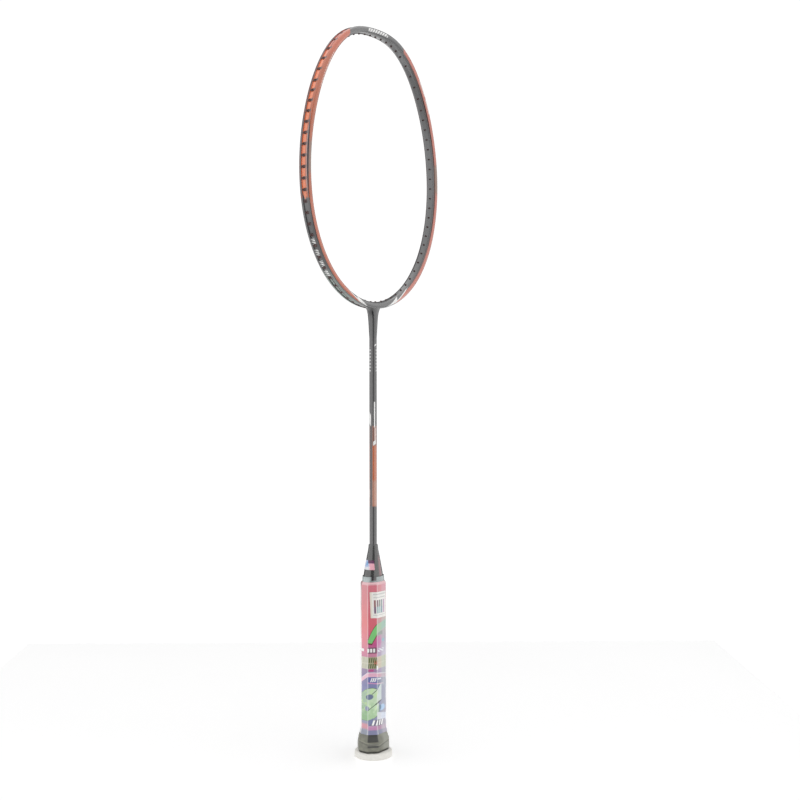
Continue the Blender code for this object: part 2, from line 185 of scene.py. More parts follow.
def loft(name, rings, along, around, loop=False):
    """A mesh of quads between closed rings, with a UV map "Place" of (around, along) in millimetres.

    A loop joins its last ring to the first; otherwise both ends are capped.
    """
    bm = bmesh.new()
    place = bm.loops.layers.uv.new("Place")
    verts = [[bm.verts.new(point) for point in ring] for ring in rings]
    count = len(rings[0])
    pairs = list(zip(range(len(rings)), range(1, len(rings))))
    if loop:
        pairs.append((len(rings) - 1, 0))
    for low, high in pairs:
        high_place = along[low + 1] if high == 0 else along[high]
        for i in range(count):
            j = (i + 1) % count
            face = bm.faces.new((verts[low][i], verts[low][j], verts[high][j], verts[high][i]))
            corners = ((around[i], along[low]), (around[i + 1], along[low]),
                       (around[i + 1], high_place), (around[i], high_place))
            for corner, (u, v) in zip(face.loops, corners):
                corner[place].uv = (u / MM, v / MM)
    if not loop:
        for ring, height in ((0, along[0]), (-1, along[-1])):
            cap = bm.faces.new(verts[ring])
            for corner, u in zip(cap.loops, around):
                corner[place].uv = (u / MM, height / MM)
    bmesh.ops.recalc_face_normals(bm, faces=bm.faces)
    mesh = bpy.data.meshes.new(name)
    bm.to_mesh(mesh)
    bm.free()
    return mesh


def add_piece(name, mesh, nodes, looks):
    """A visible piece that rides on the racket and stands for its CAD nodes."""
    piece = bpy.data.objects.new(name, mesh)
    bpy.context.scene.collection.objects.link(piece)
    if not mesh.materials:
        for look in looks:
            mesh.materials.append(look)
        smooth(mesh)
    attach(piece, ROOT)
    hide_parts(*nodes)
    return piece


def smooth(mesh, angle=40):
    mesh.shade_smooth()
    mesh.set_sharp_from_angle(angle=math.radians(angle))


def merged(name, meshes):
    """Separate closed meshes joined in one, with no faces changed."""
    bm = bmesh.new()
    for mesh in meshes:
        bm.from_mesh(mesh)
    whole = bpy.data.meshes.new(name)
    bm.to_mesh(whole)
    bm.free()
    return whole


def with_material(mesh, number):
    for face in mesh.polygons:
        face.material_index = number
    return mesh


def boolean(mesh, operation, tool):
    """The union of two closed meshes, or their difference."""
    target = bpy.data.objects.new("target", mesh)
    cutter = bpy.data.objects.new("tool", tool)
    for item in (target, cutter):
        bpy.context.scene.collection.objects.link(item)
    step = target.modifiers.new("cut", "BOOLEAN")
    step.operation = operation
    step.solver = "EXACT"
    step.object = cutter
    ready = target.evaluated_get(bpy.context.evaluated_depsgraph_get())
    made = bpy.data.meshes.new_from_object(ready)
    made.name = mesh.name
    for item in (target, cutter):
        bpy.data.objects.remove(item)
    return made


def oval(height, half_x, half_y, sides):
    return [
        Vector((half_x * math.cos(turn), half_y * math.sin(turn), height))
        for turn in (2 * math.pi * i / sides for i in range(sides))
    ]


def degrees_around(sides):
    """Azimuths of an oval's points, held as if in millimetres, so that paint reads degrees."""
    return [turn * MM for turn in spread(0, 360, sides)]


def turned(profile, place=Matrix(), squeeze=1.0):
    """Rings of a profile of (radius, height) turned about a hole's axis, squeezed along the groove."""
    return [
        [place @ Vector((x * squeeze, y, z)) for x, y, z in oval(height, radius, radius, GROMMET_SIDES)]
        for radius, height in profile
    ]


def spread(low, high, steps):
    return [low + (high - low) * i / steps for i in range(steps + 1)]


def smooth_rows(rows, steps=CURVE_STEPS):
    """Rows of numbers with more between them, on a curve through all of them (Catmull-Rom)."""
    padded = [rows[0], *rows, rows[-1]]
    made = []
    for before, start, end, after in zip(padded, padded[1:], padded[2:], padded[3:]):
        for step in range(steps):
            t = step / steps
            made.append(tuple(
                0.5 * (2 * b + (c - a) * t + (2 * a - 5 * b + 4 * c - d) * t ** 2
                       + (3 * b - a - 3 * c + d) * t ** 3)
                for a, b, c, d in zip(before, start, end, after)
            ))
    return made + [tuple(rows[-1])]


# The head's centre line


def oval_point(turn):
    x = sum(wave * math.sin((k + 1) * turn) for k, wave in enumerate(WIDTH_WAVES))
    z = sum(wave * math.cos((k + 1) * turn) for k, wave in enumerate(HEIGHT_WAVES))
    return Vector((x, 0, HEAD_MIDDLE + z))


def oval_normal(turn):
    dx = sum((k + 1) * wave * math.cos((k + 1) * turn) for k, wave in enumerate(WIDTH_WAVES))
    dz = -sum((k + 1) * wave * math.sin((k + 1) * turn) for k, wave in enumerate(HEIGHT_WAVES))
    return Vector((-dz, 0, dx)).normalized()


def measure_oval(steps=3600):
    turns = [math.pi * i / steps for i in range(steps + 1)]
    arcs = [0.0]
    for start, end in zip(turns, turns[1:]):
        arcs.append(arcs[-1] + (oval_point(end) - oval_point(start)).length)
    return turns, arcs


TURNS, ARCS = measure_oval()
HALF_ARC = ARCS[-1]


def turn_at(arc):
    side = math.copysign(1, arc)
    arc = abs(arc)
    upper = min(max(bisect.bisect_left(ARCS, arc), 1), len(ARCS) - 1)
    share = (arc - ARCS[upper - 1]) / (ARCS[upper] - ARCS[upper - 1])
    return side * (TURNS[upper - 1] + share * (TURNS[upper] - TURNS[upper - 1]))


def section(arc, outline):
    turn = turn_at(arc)
    centre, normal = oval_point(turn), oval_normal(turn)
    return [centre + out * normal + Vector((0, y, 0)) for out, y in outline]


TUBE_OUT, TUBE_Y = TUBE_DEPTH / 2, TUBE_HEIGHT / 2
FLOOR_OUT = TUBE_OUT - GROOVE_DEPTH
HALF_OUTLINE = (  # out, y and the reach of the corner's rounding, from the groove's middle round the front
    (FLOOR_OUT, 0, 0),
    (FLOOR_OUT, -GROOVE_WIDTH / 2, 0.2 * MM),
    (TUBE_OUT, -GROOVE_WIDTH / 2, 0.15 * MM),
    (TUBE_OUT, -0.5 * TUBE_Y, 0.3 * MM),
    (0.81 * TUBE_OUT, -0.83 * TUBE_Y, 0.8 * MM),
    (0.15 * TUBE_OUT, -1.02 * TUBE_Y, 1.0 * MM),
    (-0.71 * TUBE_OUT, -0.86 * TUBE_Y, 1.1 * MM),
    (-1.01 * TUBE_OUT, -0.38 * TUBE_Y, 1.1 * MM),
    (-TUBE_OUT, 0, 0),
)
CORNER_STEPS = 4


def tube_outline():
    """The outline's points as (out, y), from inside the head, and how far round each is from the groove."""
    points, around = [], []
    walked = 0.0
    corners = [Vector(corner[:2]) for corner in HALF_OUTLINE]
    for i, (corner, (_, _, reach)) in enumerate(zip(corners, HALF_OUTLINE)):
        if i:
            walked += (corner - corners[i - 1]).length
        if reach == 0:
            points.append(corner)
            around.append(walked)
            continue
        start = corner + reach * (corners[i - 1] - corner).normalized()
        end = corner + reach * (corners[i + 1] - corner).normalized()
        for step in range(CORNER_STEPS + 1):
            t = step / CORNER_STEPS
            points.append(start.lerp(corner, t).lerp(corner.lerp(end, t), t))
            around.append(walked + reach * (2 * t - 1))
    back = [Vector((point.x, -point.y)) for point in points[:0:-1]]
    return back + points[:-1], [-w for w in around[:0:-1]] + around


def hoop_mesh():
    outline, around = tube_outline()
    arcs = [2 * HALF_ARC * i / HEAD_STATIONS - HALF_ARC for i in range(HEAD_STATIONS + 1)]
    rings = [section(arc, outline) for arc in arcs[:-1]]
    return loft("hoop", rings, arcs, around, loop=True)


def hole_arcs():
    arcs = []
    for count, pitch in HOLE_RUNS:
        for _ in range(count):
            arcs.append(arcs[-1] + pitch if arcs else FIRST_HOLE)
    return arcs


HOLES = hole_arcs()


def hole_place(number, side):
    """Matrix at a hole's middle with its Z out of the head and its Y across the groove."""
    turn = turn_at(side * HOLES[number])
    out = oval_normal(turn)
    if number == len(HOLES) - 1:
        out = Matrix.Rotation(-side * SPLAY, 3, "Y") @ out
    across = Vector((0, 1, 0))
    place = Matrix((across.cross(out), across, out)).transposed().to_4x4()
    place.translation = oval_point(turn)
    return place


# Pieces of the head and shaft


def yoke_mesh():
    rows = smooth_rows(YOKE_RINGS)
    rings = [oval(*row, YOKE_SIDES) for row in rows]
    return loft("yoke", rings, [row[0] for row in rows], degrees_around(YOKE_SIDES))


def make_head(lacquer, yoke_lacquer):
    head = boolean(with_material(hoop_mesh(), 0), "UNION", with_material(yoke_mesh(), 1))
    ends = (YOKE_BOTTOM - MM, SOCKET_TOP)
    socket = [oval(height, SOCKET_RADIUS, SOCKET_RADIUS, SOCKET_SIDES) for height in ends]
    cut = loft("socket", socket, [YOKE_BOTTOM, SOCKET_TOP], degrees_around(SOCKET_SIDES))
    head = boolean(head, "DIFFERENCE", with_material(cut, 1))
    head.materials.clear()
    add_piece("head_hoop", head, ["head_frame"], [lacquer, yoke_lacquer])


GROMMET_PROFILE = (  # radius and height, from the sleeve's end out round the flange and back down the bore
    (0.80 * MM, SLEEVE_END),
    (0.98 * MM, SLEEVE_END + 0.04 * MM),
    (SLEEVE_RADIUS, SLEEVE_END + 0.22 * MM),
    (SLEEVE_RADIUS, FLANGE_BOTTOM),
    (FLANGE_RADIUS - 0.08 * MM, FLANGE_BOTTOM),
    (FLANGE_RADIUS, FLANGE_BOTTOM + 0.1 * MM),
    (FLANGE_RADIUS - 0.03 * MM, FLANGE_BOTTOM + 0.3 * MM),
    (FLANGE_RADIUS - 0.3 * MM, FLANGE_TOP - 0.06 * MM),
    (1.1 * MM, FLANGE_TOP),
    (0.80 * MM, FLANGE_TOP - 0.04 * MM),
    (SLEEVE_BORE, FLANGE_TOP - 0.25 * MM),
    (SLEEVE_BORE, SLEEVE_END + 0.16 * MM),
)


def grommet_mesh(place=Matrix()):
    rings = turned(GROMMET_PROFILE, place, squeeze=FLANGE_LENGTH)
    heights = [height for _, height in GROMMET_PROFILE]
    return loft("grommet", rings, [*heights, heights[0]], degrees_around(GROMMET_SIDES), loop=True)


def make_single_grommets(nylon):
    mesh = grommet_mesh()
    singles = range(HOLES_IN_STRIP, len(HOLES) - HOLES_IN_STRIP)
    for side, side_name in ((-1, "left"), (1, "right")):
        for count, number in enumerate(singles, start=1):
            node = f"grommet_{side_name}_{count:02d}"
            piece = bpy.data.objects.new(f"string_{node}", mesh)
            piece.matrix_world = hole_place(number, side)
            bpy.context.scene.collection.objects.link(piece)
            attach(piece, ROOT)
            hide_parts(node)
    mesh.materials.append(nylon)
    smooth(mesh)


def runner_mesh(first, last):
    """The thin web that joins a strip's grommets, between two arcs."""
    half, low, high = RUNNER_WIDTH / 2, FLANGE_BOTTOM + 0.05 * MM, FLANGE_TOP - 0.25 * MM
    outline = [(low, half), (high - 0.1 * MM, half), (high, half - 0.2 * MM),
               (high, -half + 0.2 * MM), (high - 0.1 * MM, -half), (low, -half)]
    arcs = spread(first, last, RUNNER_STEPS)
    return loft("runner", [section(arc, outline) for arc in arcs], arcs, [0.0] * (len(outline) + 1))


def plug_mesh(place):
    """What a grommet's sleeve takes out of the runner."""
    rings = turned(((PLUG_RADIUS, 0), (PLUG_RADIUS, 2 * TUBE_OUT)), place)
    return loft("plug", rings, [0, TUBE_OUT], degrees_around(GROMMET_SIDES))


def make_strips(nylon, lacquer):
    """The strips beside the top and the throat, with runners painted like the groove that they lie in."""
    last = len(HOLES)
    spans = {"top": range(HOLES_IN_STRIP), "throat": range(last - HOLES_IN_STRIP, last)}
    for side, side_name in ((-1, "left"), (1, "right")):
        for where, numbers in spans.items():
            runner = runner_mesh(side * HOLES[numbers[0]], side * HOLES[numbers[-1]])
            plugs = merged("plugs", [plug_mesh(hole_place(number, side)) for number in numbers])
            web = boolean(with_material(runner, 1), "DIFFERENCE", plugs)
            heads = [with_material(grommet_mesh(hole_place(number, side)), 0) for number in numbers]
            mesh = merged(f"strip_{where}_{side_name}", [*heads, web])
            name = f"grommet_strip_{where}_{side_name}"
            add_piece(f"string_{name}", mesh, [name], [nylon, lacquer])


def make_shaft(lacquer):
    """The shaft and the narrower spigot above it, which fills the yoke's socket."""
    top, spigot_top = YOKE_BOTTOM - HAIRLINE, SOCKET_TOP - HAIRLINE
    profile = [(SHAFT_RADIUS, height) for height in spread(SHAFT_BOTTOM, top, SHAFT_STEPS)]
    profile += [(SPIGOT_RADIUS, top), (SPIGOT_RADIUS, spigot_top)]
    profile += [(SHAFT_BORE, spigot_top), (SHAFT_BORE, SHAFT_BOTTOM)]
    rings = [oval(height, radius, radius, ROUND_SIDES) for radius, height in profile]
    heights = [height for _, height in profile]
    mesh = loft("shaft_tube", rings, [*heights, heights[0]], degrees_around(ROUND_SIDES), loop=True)
    add_piece("shaft_tube", mesh, ["shaft"], [lacquer])


def cone_size(height):
    rows = smooth_rows(CONE_RINGS)
    for (low, low_x, low_y), (high, high_x, high_y) in zip(rows, rows[1:]):
        if low <= height <= high:
            share = (height - low) / (high - low)
            return low_x + share * (high_x - low_x), low_y + share * (high_y - low_y)
    return rows[-1][1:]


def make_cone(gloss):
    outside = smooth_rows(CONE_RINGS)
    hollow = [row for row in reversed(outside) if row[0] < CONE_HOLLOW_TOP]
    bore = SHAFT_RADIUS + HAIRLINE
    rows = [*outside, *CONE_LIP, (CONE_BORE_TOP, bore, bore), (CONE_BORE_BOTTOM, bore, bore)]
    rows += [(height, x - CONE_WALL, y - CONE_WALL) for height, x, y in hollow]
    heights = [row[0] for row in rows]
    rings = [oval(*row, ROUND_SIDES) for row in rows]
    mesh = loft("cone_cap", rings, [*heights, heights[0]], degrees_around(ROUND_SIDES), loop=True)
    add_piece("cone_cap", mesh, ["cone"], [gloss])


STICKER_ACROSS, STICKER_UP = 24, 8  # faces
STICKER_FIRST, STICKER_LAST = 130, 232  # azimuths of its ends at the foot, in degrees
STICKER_LEANS = (6, -7)  # how far each end has turned at the top
STICKER_INSIDE, STICKER_OUTSIDE = 0.02 * MM, 0.14 * MM  # out from the cone


def make_sticker(look):
    """A thin patch bent round the cone, with slanted ends."""
    low, high = (corner.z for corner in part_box("cone_sticker"))
    along = spread(low, high, STICKER_UP)
    rings = []
    for i, height in enumerate(along):
        half_x, half_y = cone_size(height)
        first = STICKER_FIRST + STICKER_LEANS[0] * i / STICKER_UP
        last = STICKER_LAST + STICKER_LEANS[1] * i / STICKER_UP
        turns = [math.radians(turn) for turn in spread(first, last, STICKER_ACROSS)]
        rings.append([
            Vector(((half_x + grow) * math.cos(turn), (half_y + grow) * math.sin(turn), height))
            for grow, order in ((STICKER_INSIDE, turns), (STICKER_OUTSIDE, turns[::-1])) for turn in order
        ])
    there = [degree * MM for degree in spread(STICKER_FIRST, STICKER_FIRST + 100, STICKER_ACROSS)]
    mesh = loft("cone_patch", rings, along, there + there[::-1] + [there[0]])
    add_piece("cone_patch", mesh, ["cone_sticker"], [look])


# Handle


def handle_corners(offset):
    """The octagon's corners from +X round by +Y, with offset outwards from the film's outline."""
    half_x, half_y = HANDLE_HALF_X + offset, HANDLE_HALF_Y + offset
    chamfer = HANDLE_CHAMFER + (2 - math.sqrt(2)) * offset
    quarter = [Vector((half_x, half_y - chamfer)), Vector((half_x - chamfer, half_y))]
    half = quarter + [Vector((-p.x, p.y)) for p in reversed(quarter)]
    return half + [-p for p in half]


def handle_places():
    """The points of a handle ring, and the girth.

    Each point has its corner, whether it is on that corner's arc or the flat after it, its share of that, and
    its distance round from the middle of the +X+Y flat. Half way round is the middle of the -X-Y flat.
    """
    corners = handle_corners(0)
    reach = ROUNDING * math.tan(math.pi / 8)
    points, walked = [], 0.0
    start = corners[0].lerp(corners[1], 0.5)
    order = [1, 2, 3, 4, 5, 6, 7, 0]
    for k, number in enumerate(order):
        corner = corners[number]
        before = start if k == 0 else corners[order[k - 1]]
        after = start if k == 7 else corners[(number + 1) % 8]
        walked += (corner - before).length
        for step in range(ARC_STEPS + 1):
            points.append((number, "arc", step / ARC_STEPS, walked + reach * (2 * step / ARC_STEPS - 1)))
        length = (after - corner).length
        for step in range(1, FLAT_STEPS + 1):
            at = reach + (length - 2 * reach) * step / (FLAT_STEPS + 1)
            if k == 7 and step > FLAT_STEPS // 2:
                break
            points.append((number, "flat", at / length, walked + at))
    girth = walked + (start - corners[0]).length
    return points, girth


HANDLE_PLACES, GIRTH = handle_places()


def handle_ring(height, offset):
    """A ring of the rounded octagon."""
    corners = handle_corners(offset)
    rounding = max(ROUNDING + offset, 0.5 * MM)
    reach = rounding * math.tan(math.pi / 8)
    ring = []
    for number, kind, share, _ in HANDLE_PLACES:
        corner, after, before = corners[number], corners[(number + 1) % 8], corners[number - 1]
        if kind == "arc":
            start = corner + reach * (before - corner).normalized()
            end = corner + reach * (after - corner).normalized()
            point = start.lerp(corner, share).lerp(corner.lerp(end, share), share)
        else:
            end = corners[1].lerp(corners[0], 0.5) if number == 0 else after
            point = corner.lerp(end, share)
        ring.append(Vector((point.x, point.y, height)))
    return ring


HANDLE_AROUND = [place - GIRTH / 2 for _, _, _, place in HANDLE_PLACES]
HANDLE_AROUND.append(HANDLE_AROUND[0] + GIRTH)


def neck_ring(height, half_x, half_y):
    """An oval whose points lie in line with the octagon's."""
    return [
        Vector((half_x * math.cos(turn), half_y * math.sin(turn), height))
        for turn in (math.atan2(p.y / HANDLE_HALF_Y, p.x / HANDLE_HALF_X) for p in handle_ring(0, 0))
    ]


def on_handle(around, height, offset):
    """The point of the handle's outline at a place round it."""
    ring = handle_ring(height, offset)
    upper = min(max(bisect.bisect_left(HANDLE_AROUND, around), 1), len(ring) - 1)
    low, high = HANDLE_AROUND[upper - 1], HANDLE_AROUND[upper]
    return ring[upper - 1].lerp(ring[upper], (around - low) / (high - low))


def flare_at(height):
    rows = smooth_rows(FLARE)
    for (low, low_offset), (high, high_offset) in zip(rows, rows[1:]):
        if low <= height <= high:
            return low_offset + (high_offset - low_offset) * (height - low) / (high - low)
    return FLARE[-1][1] if height > FLARE[-1][0] else FLARE[0][1]


def step_between(value, low, high):
    """0 below low, 1 above high, with a smooth rise."""
    t = min(max((value - low) / (high - low), 0), 1)
    return t * t * (3 - 2 * t)


def pushed(ring, places, amount):
    """A ring moved outwards from the handle's axis by amount(place, height) at each point."""
    made = []
    for point, place in zip(ring, places):
        outward = Vector((point.x, point.y, 0)).normalized()
        made.append(point + amount(place, point.z) * outward)
    return made


SEAM_HEIGHT = 7.6 * MM
SEAM_SLOPE = 0.22
SEAM_CORNER = 4.35 * MM
SEAM_STEP = 0.32 * MM
SEAM_SOFTNESS = 0.25 * MM
SEAM_FADE = (3 * MM, 7 * MM)  # above the seam, where its step runs out
SEAM_FOOT = (2 * MM, 4 * MM)  # heights over which the lower layer draws in


def wrap_edge(place, height):
    """The grip tape's edge: the layer above the seam stands proud of the one below it."""
    seam = SEAM_HEIGHT + SEAM_SLOPE * abs(place - SEAM_CORNER)
    rise = step_between(height, seam - SEAM_SOFTNESS, seam + SEAM_SOFTNESS)
    fade = step_between(height, seam + SEAM_FADE[0], seam + SEAM_FADE[1])
    foot = step_between(height, *SEAM_FOOT)
    return SEAM_STEP * (rise * (1 - fade) - 0.5 * foot * (1 - rise))


def make_grip(look):
    """The cushioned wrap: fine rows where it shows, below the film, and few above."""
    heights = spread(GRIP_BOTTOM, 22 * MM, 56) + spread(FLARE_TOP, HANDLE_TOP, 6)
    inside = [HANDLE_TOP, *(height for height, _ in reversed(FLARE))]
    rings = [handle_ring(GRIP_EDGE, flare_at(GRIP_BOTTOM) - 0.3 * MM)]
    rings += [pushed(handle_ring(height, flare_at(height)), HANDLE_AROUND, wrap_edge) for height in heights]
    rings += [handle_ring(height, flare_at(height) - GRIP_THICKNESS) for height in inside]
    along = [GRIP_EDGE, *heights, *inside, inside[-1]]
    mesh = loft("grip_wrap", rings, along, HANDLE_AROUND, loop=True)
    piece = add_piece("grip_wrap", mesh, ["grip"], [look])


def make_butt_cap(look):
    """The butt's plastic end: a rim with a rounded edge under the grip, and a cup inside it."""
    rim = FLARE[0][1]
    rows = [(0, rim - 1.0 * MM), (0.12 * MM, rim - 0.72 * MM), (0.35 * MM, rim - 0.4 * MM),
            (0.7 * MM, rim - 0.15 * MM), (1.1 * MM, rim), (CAP_LEDGE, rim - 0.05 * MM)]
    rows += [(CAP_LEDGE, rim - GRIP_THICKNESS - GAP), (CAP_TOP, flare_at(CAP_TOP) - GRIP_THICKNESS - GAP)]
    rows += [(CAP_TOP, CAP_INSIDE), (CAP_FLOOR, CAP_INSIDE)]
    heights = [height for height, _ in rows]
    rings = [handle_ring(*row) for row in rows]
    mesh = loft("butt_end", rings, heights, HANDLE_AROUND)
    add_piece("butt_end", mesh, ["butt_cap"], [look])


FILM_SHOULDER = in_mm(  # height and offset, where the film turns in over the end of the handle
    (158.4, 0.0),
    (159.4, -0.12),
    (160.2, -0.42),
    (160.75, -0.95),
)
FILM_NECK = in_mm(  # height, half width and half thickness, over the foot of the cone
    (161.3, 12.0, 9.35),
    (163, 11.75, 9.3),
    (165, 11.5, 9.25),
    (166.2, 11.3, 9.15),
)


TAPE_PITCH = 21 * MM  # height of one turn of the grip's tape
RIDGE = 0.07 * MM
CRUMPLE = 0.06 * MM


def film_waves(place, height):
    """Shallow waves of a shrunk film over spiral tape."""
    turn = 2 * math.pi * (height / TAPE_PITCH + place / GIRTH)
    return RIDGE * math.sin(turn) + CRUMPLE * noise.noise(Vector((place * 180, height * 90, 3.0)))


def make_film(look):
    """The printed film: it starts on the flare, and is drawn in over the foot of the cone."""
    heights = spread(FILM_BOTTOM, 26 * MM, 12) + spread(28 * MM, 157 * MM, 64)
    outer = [pushed(handle_ring(h, flare_at(h) + GRIP_INSET), HANDLE_AROUND, film_waves) for h in heights]
    outer += [handle_ring(*row) for row in FILM_SHOULDER]
    outer += [neck_ring(*row) for row in FILM_NECK]
    along = heights + [row[0] for row in FILM_SHOULDER + FILM_NECK]
    thin = FILM_THICKNESS * 0.6
    inner = [neck_ring(h, x - thin, y - thin) for h, x, y in reversed(FILM_NECK)]
    inner += [handle_ring(h - thin, offset - thin) for h, offset in reversed(FILM_SHOULDER)]
    inner += [handle_ring(h, flare_at(h) + GRIP_INSET - thin - 0.1 * MM) for h in reversed(heights[::4])]
    inside = [row[0] for row in (FILM_SHOULDER + FILM_NECK)[::-1]] + heights[::4][::-1]
    mesh = loft("film_wrap", outer + inner, [*along, *inside, inside[-1]], HANDLE_AROUND, loop=True)
    add_piece("film_wrap", mesh, ["film_sleeve"], [look])


LABEL_LEFT, LABEL_RIGHT = -2.8 * MM, 17.0 * MM
LABEL_LOW, LABEL_HIGH = 127.9 * MM, 152.4 * MM
LABEL_LEAN = 0.045  # how far its left edge leans, per height
LABEL_ACROSS, LABEL_UP = 60, 10  # faces
LABEL_INSIDE, LABEL_OUTSIDE = 0.16 * MM, 0.3 * MM  # out from the film


def make_label(look):
    """A thin label that bends over the edge between two facets; it was stuck on a little askew."""
    along = spread(LABEL_LOW, LABEL_HIGH, LABEL_UP)
    rings = []
    for height in along:
        places = spread(LABEL_LEFT + LABEL_LEAN * (LABEL_HIGH - height), LABEL_RIGHT, LABEL_ACROSS)
        rings.append([
            on_handle(place, height - LABEL_LEAN * 0.5 * (place - LABEL_LEFT), offset)
            for offset, order in ((LABEL_INSIDE, places), (LABEL_OUTSIDE, places[::-1])) for place in order
        ])
    there = spread(LABEL_LEFT, LABEL_RIGHT, LABEL_ACROSS)
    mesh = loft("film_tag", rings, along, there + there[::-1] + [there[0]])
    add_piece("film_tag", mesh, ["film_label"], [look])


# Paint


def srgb(red, green, blue):
    """A linear colour from display values of 0 to 255."""
    def linear(value):
        value /= 255
        return value / 12.92 if value <= 0.04045 else ((value + 0.055) / 1.055) ** 2.4
    return (linear(red), linear(green), linear(blue), 1.0)


class Field:
    """A number that varies over a surface, with arithmetic that adds the nodes for it."""

    def __init__(self, tree, socket):
        self.tree = tree
        self.socket = socket

    def calculate(self, operation, *others):
        node = self.tree.nodes.new("ShaderNodeMath")
        node.operation = operation
        for slot, value in zip(node.inputs, (self, *others)):
            if isinstance(value, Field):
                self.tree.links.new(value.socket, slot)
            else:
                slot.default_value = value
        return Field(self.tree, node.outputs[0])

    def __add__(self, other):
        return self.calculate("ADD", other)

    def __sub__(self, other):
        return self.calculate("SUBTRACT", other)

    def __mul__(self, other):
        return self.calculate("MULTIPLY", other)

    def __neg__(self):
        return self * -1.0

    def __abs__(self):
        return self.calculate("ABSOLUTE")

    def squared(self):
        return self.calculate("MULTIPLY", self)

    def least(self, other):
        return self.calculate("MINIMUM", other)

    def most(self, other):
        return self.calculate("MAXIMUM", other)

    def repeat(self, period):
        """The place within a repeating period, from 0 to 1."""
        return self.calculate("DIVIDE", period).calculate("FRACT")

    def above(self, limit, soft=0.1):
        """1 where the number is above the limit, else 0, with a soft edge."""
        node = self.tree.nodes.new("ShaderNodeMapRange")
        node.interpolation_type = "SMOOTHSTEP"
        self.tree.links.new((self - limit).socket, node.inputs["Value"])
        node.inputs["From Min"].default_value = -soft
        node.inputs["From Max"].default_value = soft
        return Field(self.tree, node.outputs[0])

    def below(self, limit, soft=0.1):
        return (-self).above(-limit, soft)

    def between(self, low, high, soft=0.1):
        return self.above(low, soft) * self.below(high, soft)


COAT_ROUGHNESS = 0.06


class Paint:
    """One material: a Principled shader, the places that its pattern reads, and layers of colour."""

    def __init__(self, name, roughness, specular=0.5, coat=0.0):
        self.material = bpy.data.materials.new(name)
        self.material.use_nodes = True
        self.tree = self.material.node_tree
        self.shader = self.tree.nodes["Principled BSDF"]
        self.shader.inputs["Roughness"].default_value = roughness
        self.shader.inputs["Specular IOR Level"].default_value = specular
        self.shader.inputs["Coat Weight"].default_value = coat
        self.shader.inputs["Coat Roughness"].default_value = COAT_ROUGHNESS
        place = self.tree.nodes.new("ShaderNodeUVMap")
        place.uv_map = "Place"
        parts = self.tree.nodes.new("ShaderNodeSeparateXYZ")
        self.tree.links.new(place.outputs[0], parts.inputs[0])
        self.around = Field(self.tree, parts.outputs[0])
        self.along = Field(self.tree, parts.outputs[1])

    def grain(self, scale, detail=3.0, stretch=(1, 1, 1)):
        """Noise in the racket's own space; a bigger stretch makes it finer along that axis."""
        space = self.tree.nodes.new("ShaderNodeTexCoord")
        mapping = self.tree.nodes.new("ShaderNodeMapping")
        mapping.inputs["Scale"].default_value = stretch
        texture = self.tree.nodes.new("ShaderNodeTexNoise")
        texture.inputs["Scale"].default_value = scale
        texture.inputs["Detail"].default_value = detail
        self.tree.links.new(space.outputs["Object"], mapping.inputs[0])
        self.tree.links.new(mapping.outputs[0], texture.inputs["Vector"])
        return Field(self.tree, texture.outputs[0])

    def ramp(self, field, stops):
        """Colours at places along a field, blended between them."""
        low, high = stops[0][0], stops[-1][0]
        node = self.tree.nodes.new("ShaderNodeValToRGB")
        self.tree.links.new(((field - low) * (1 / (high - low))).socket, node.inputs[0])
        while len(node.color_ramp.elements) < len(stops):
            node.color_ramp.elements.new(0.5)
        for element, (at, colour) in zip(node.color_ramp.elements, stops):
            element.position = (at - low) / (high - low)
            element.color = colour
        return node.outputs[0]

    def mottle(self, field, dark, light):
        """Two display colours mixed by a grain."""
        return self.ramp(field, ((0.3, srgb(*dark)), (0.7, srgb(*light))))

    def over(self, below, mask, colour):
        """A colour laid over another where the mask is 1."""
        node = self.tree.nodes.new("ShaderNodeMix")
        node.data_type = "RGBA"
        self.tree.links.new(mask.socket, node.inputs[0])
        for slot, value in ((node.inputs[6], below), (node.inputs[7], colour)):
            if isinstance(value, tuple):
                slot.default_value = value
            else:
                self.tree.links.new(value, slot)
        return node.outputs[2]

    def layers(self, base, *layers):
        """Colours laid on a base in turn, each with its mask; a triple is a display colour."""
        for mask, colour in layers:
            triple = isinstance(colour, tuple) and len(colour) == 3
            base = self.over(base, mask, srgb(*colour) if triple else colour)
        return base

    def finish(self, colour, bump=None, strength=0.2, depth=0.1 * MM):
        self.tree.links.new(colour, self.shader.inputs["Base Color"])
        if bump:
            node = self.tree.nodes.new("ShaderNodeBump")
            node.inputs["Strength"].default_value = strength
            node.inputs["Distance"].default_value = depth
            self.tree.links.new(bump.socket, node.inputs["Height"])
            self.tree.links.new(node.outputs[0], self.shader.inputs["Normal"])
        return self.material


ORANGE = srgb(243, 126, 68)
ORANGE_DEEP = srgb(194, 96, 58)
WHITE = srgb(245, 245, 243)


def hole_bars(arc, reach):
    """1 within reach of a string hole, along the head."""
    bars = None
    start, first = 0.0, FIRST_HOLE
    for number, (count, pitch) in enumerate(HOLE_RUNS):
        if number:
            first = start + pitch
        last = first + (count - 1) * pitch
        run = arc.between(first / MM - 3, last / MM + 3, 0.05)
        near = abs((arc - first / MM + pitch / MM * 0.5).repeat(pitch / MM) - 0.5) * (pitch / MM)
        bar = run * near.below(reach, 0.25)
        bars = bars.most(bar) if bars else bar
        start = last
    return bars


ORANGE_START = 35  # arcs, in millimetres
UPPER_END = 211  # of the orange beside the groove, on the front and back
LOWER_START = 205  # of the orange nearer the inside
FLASH_START = 369


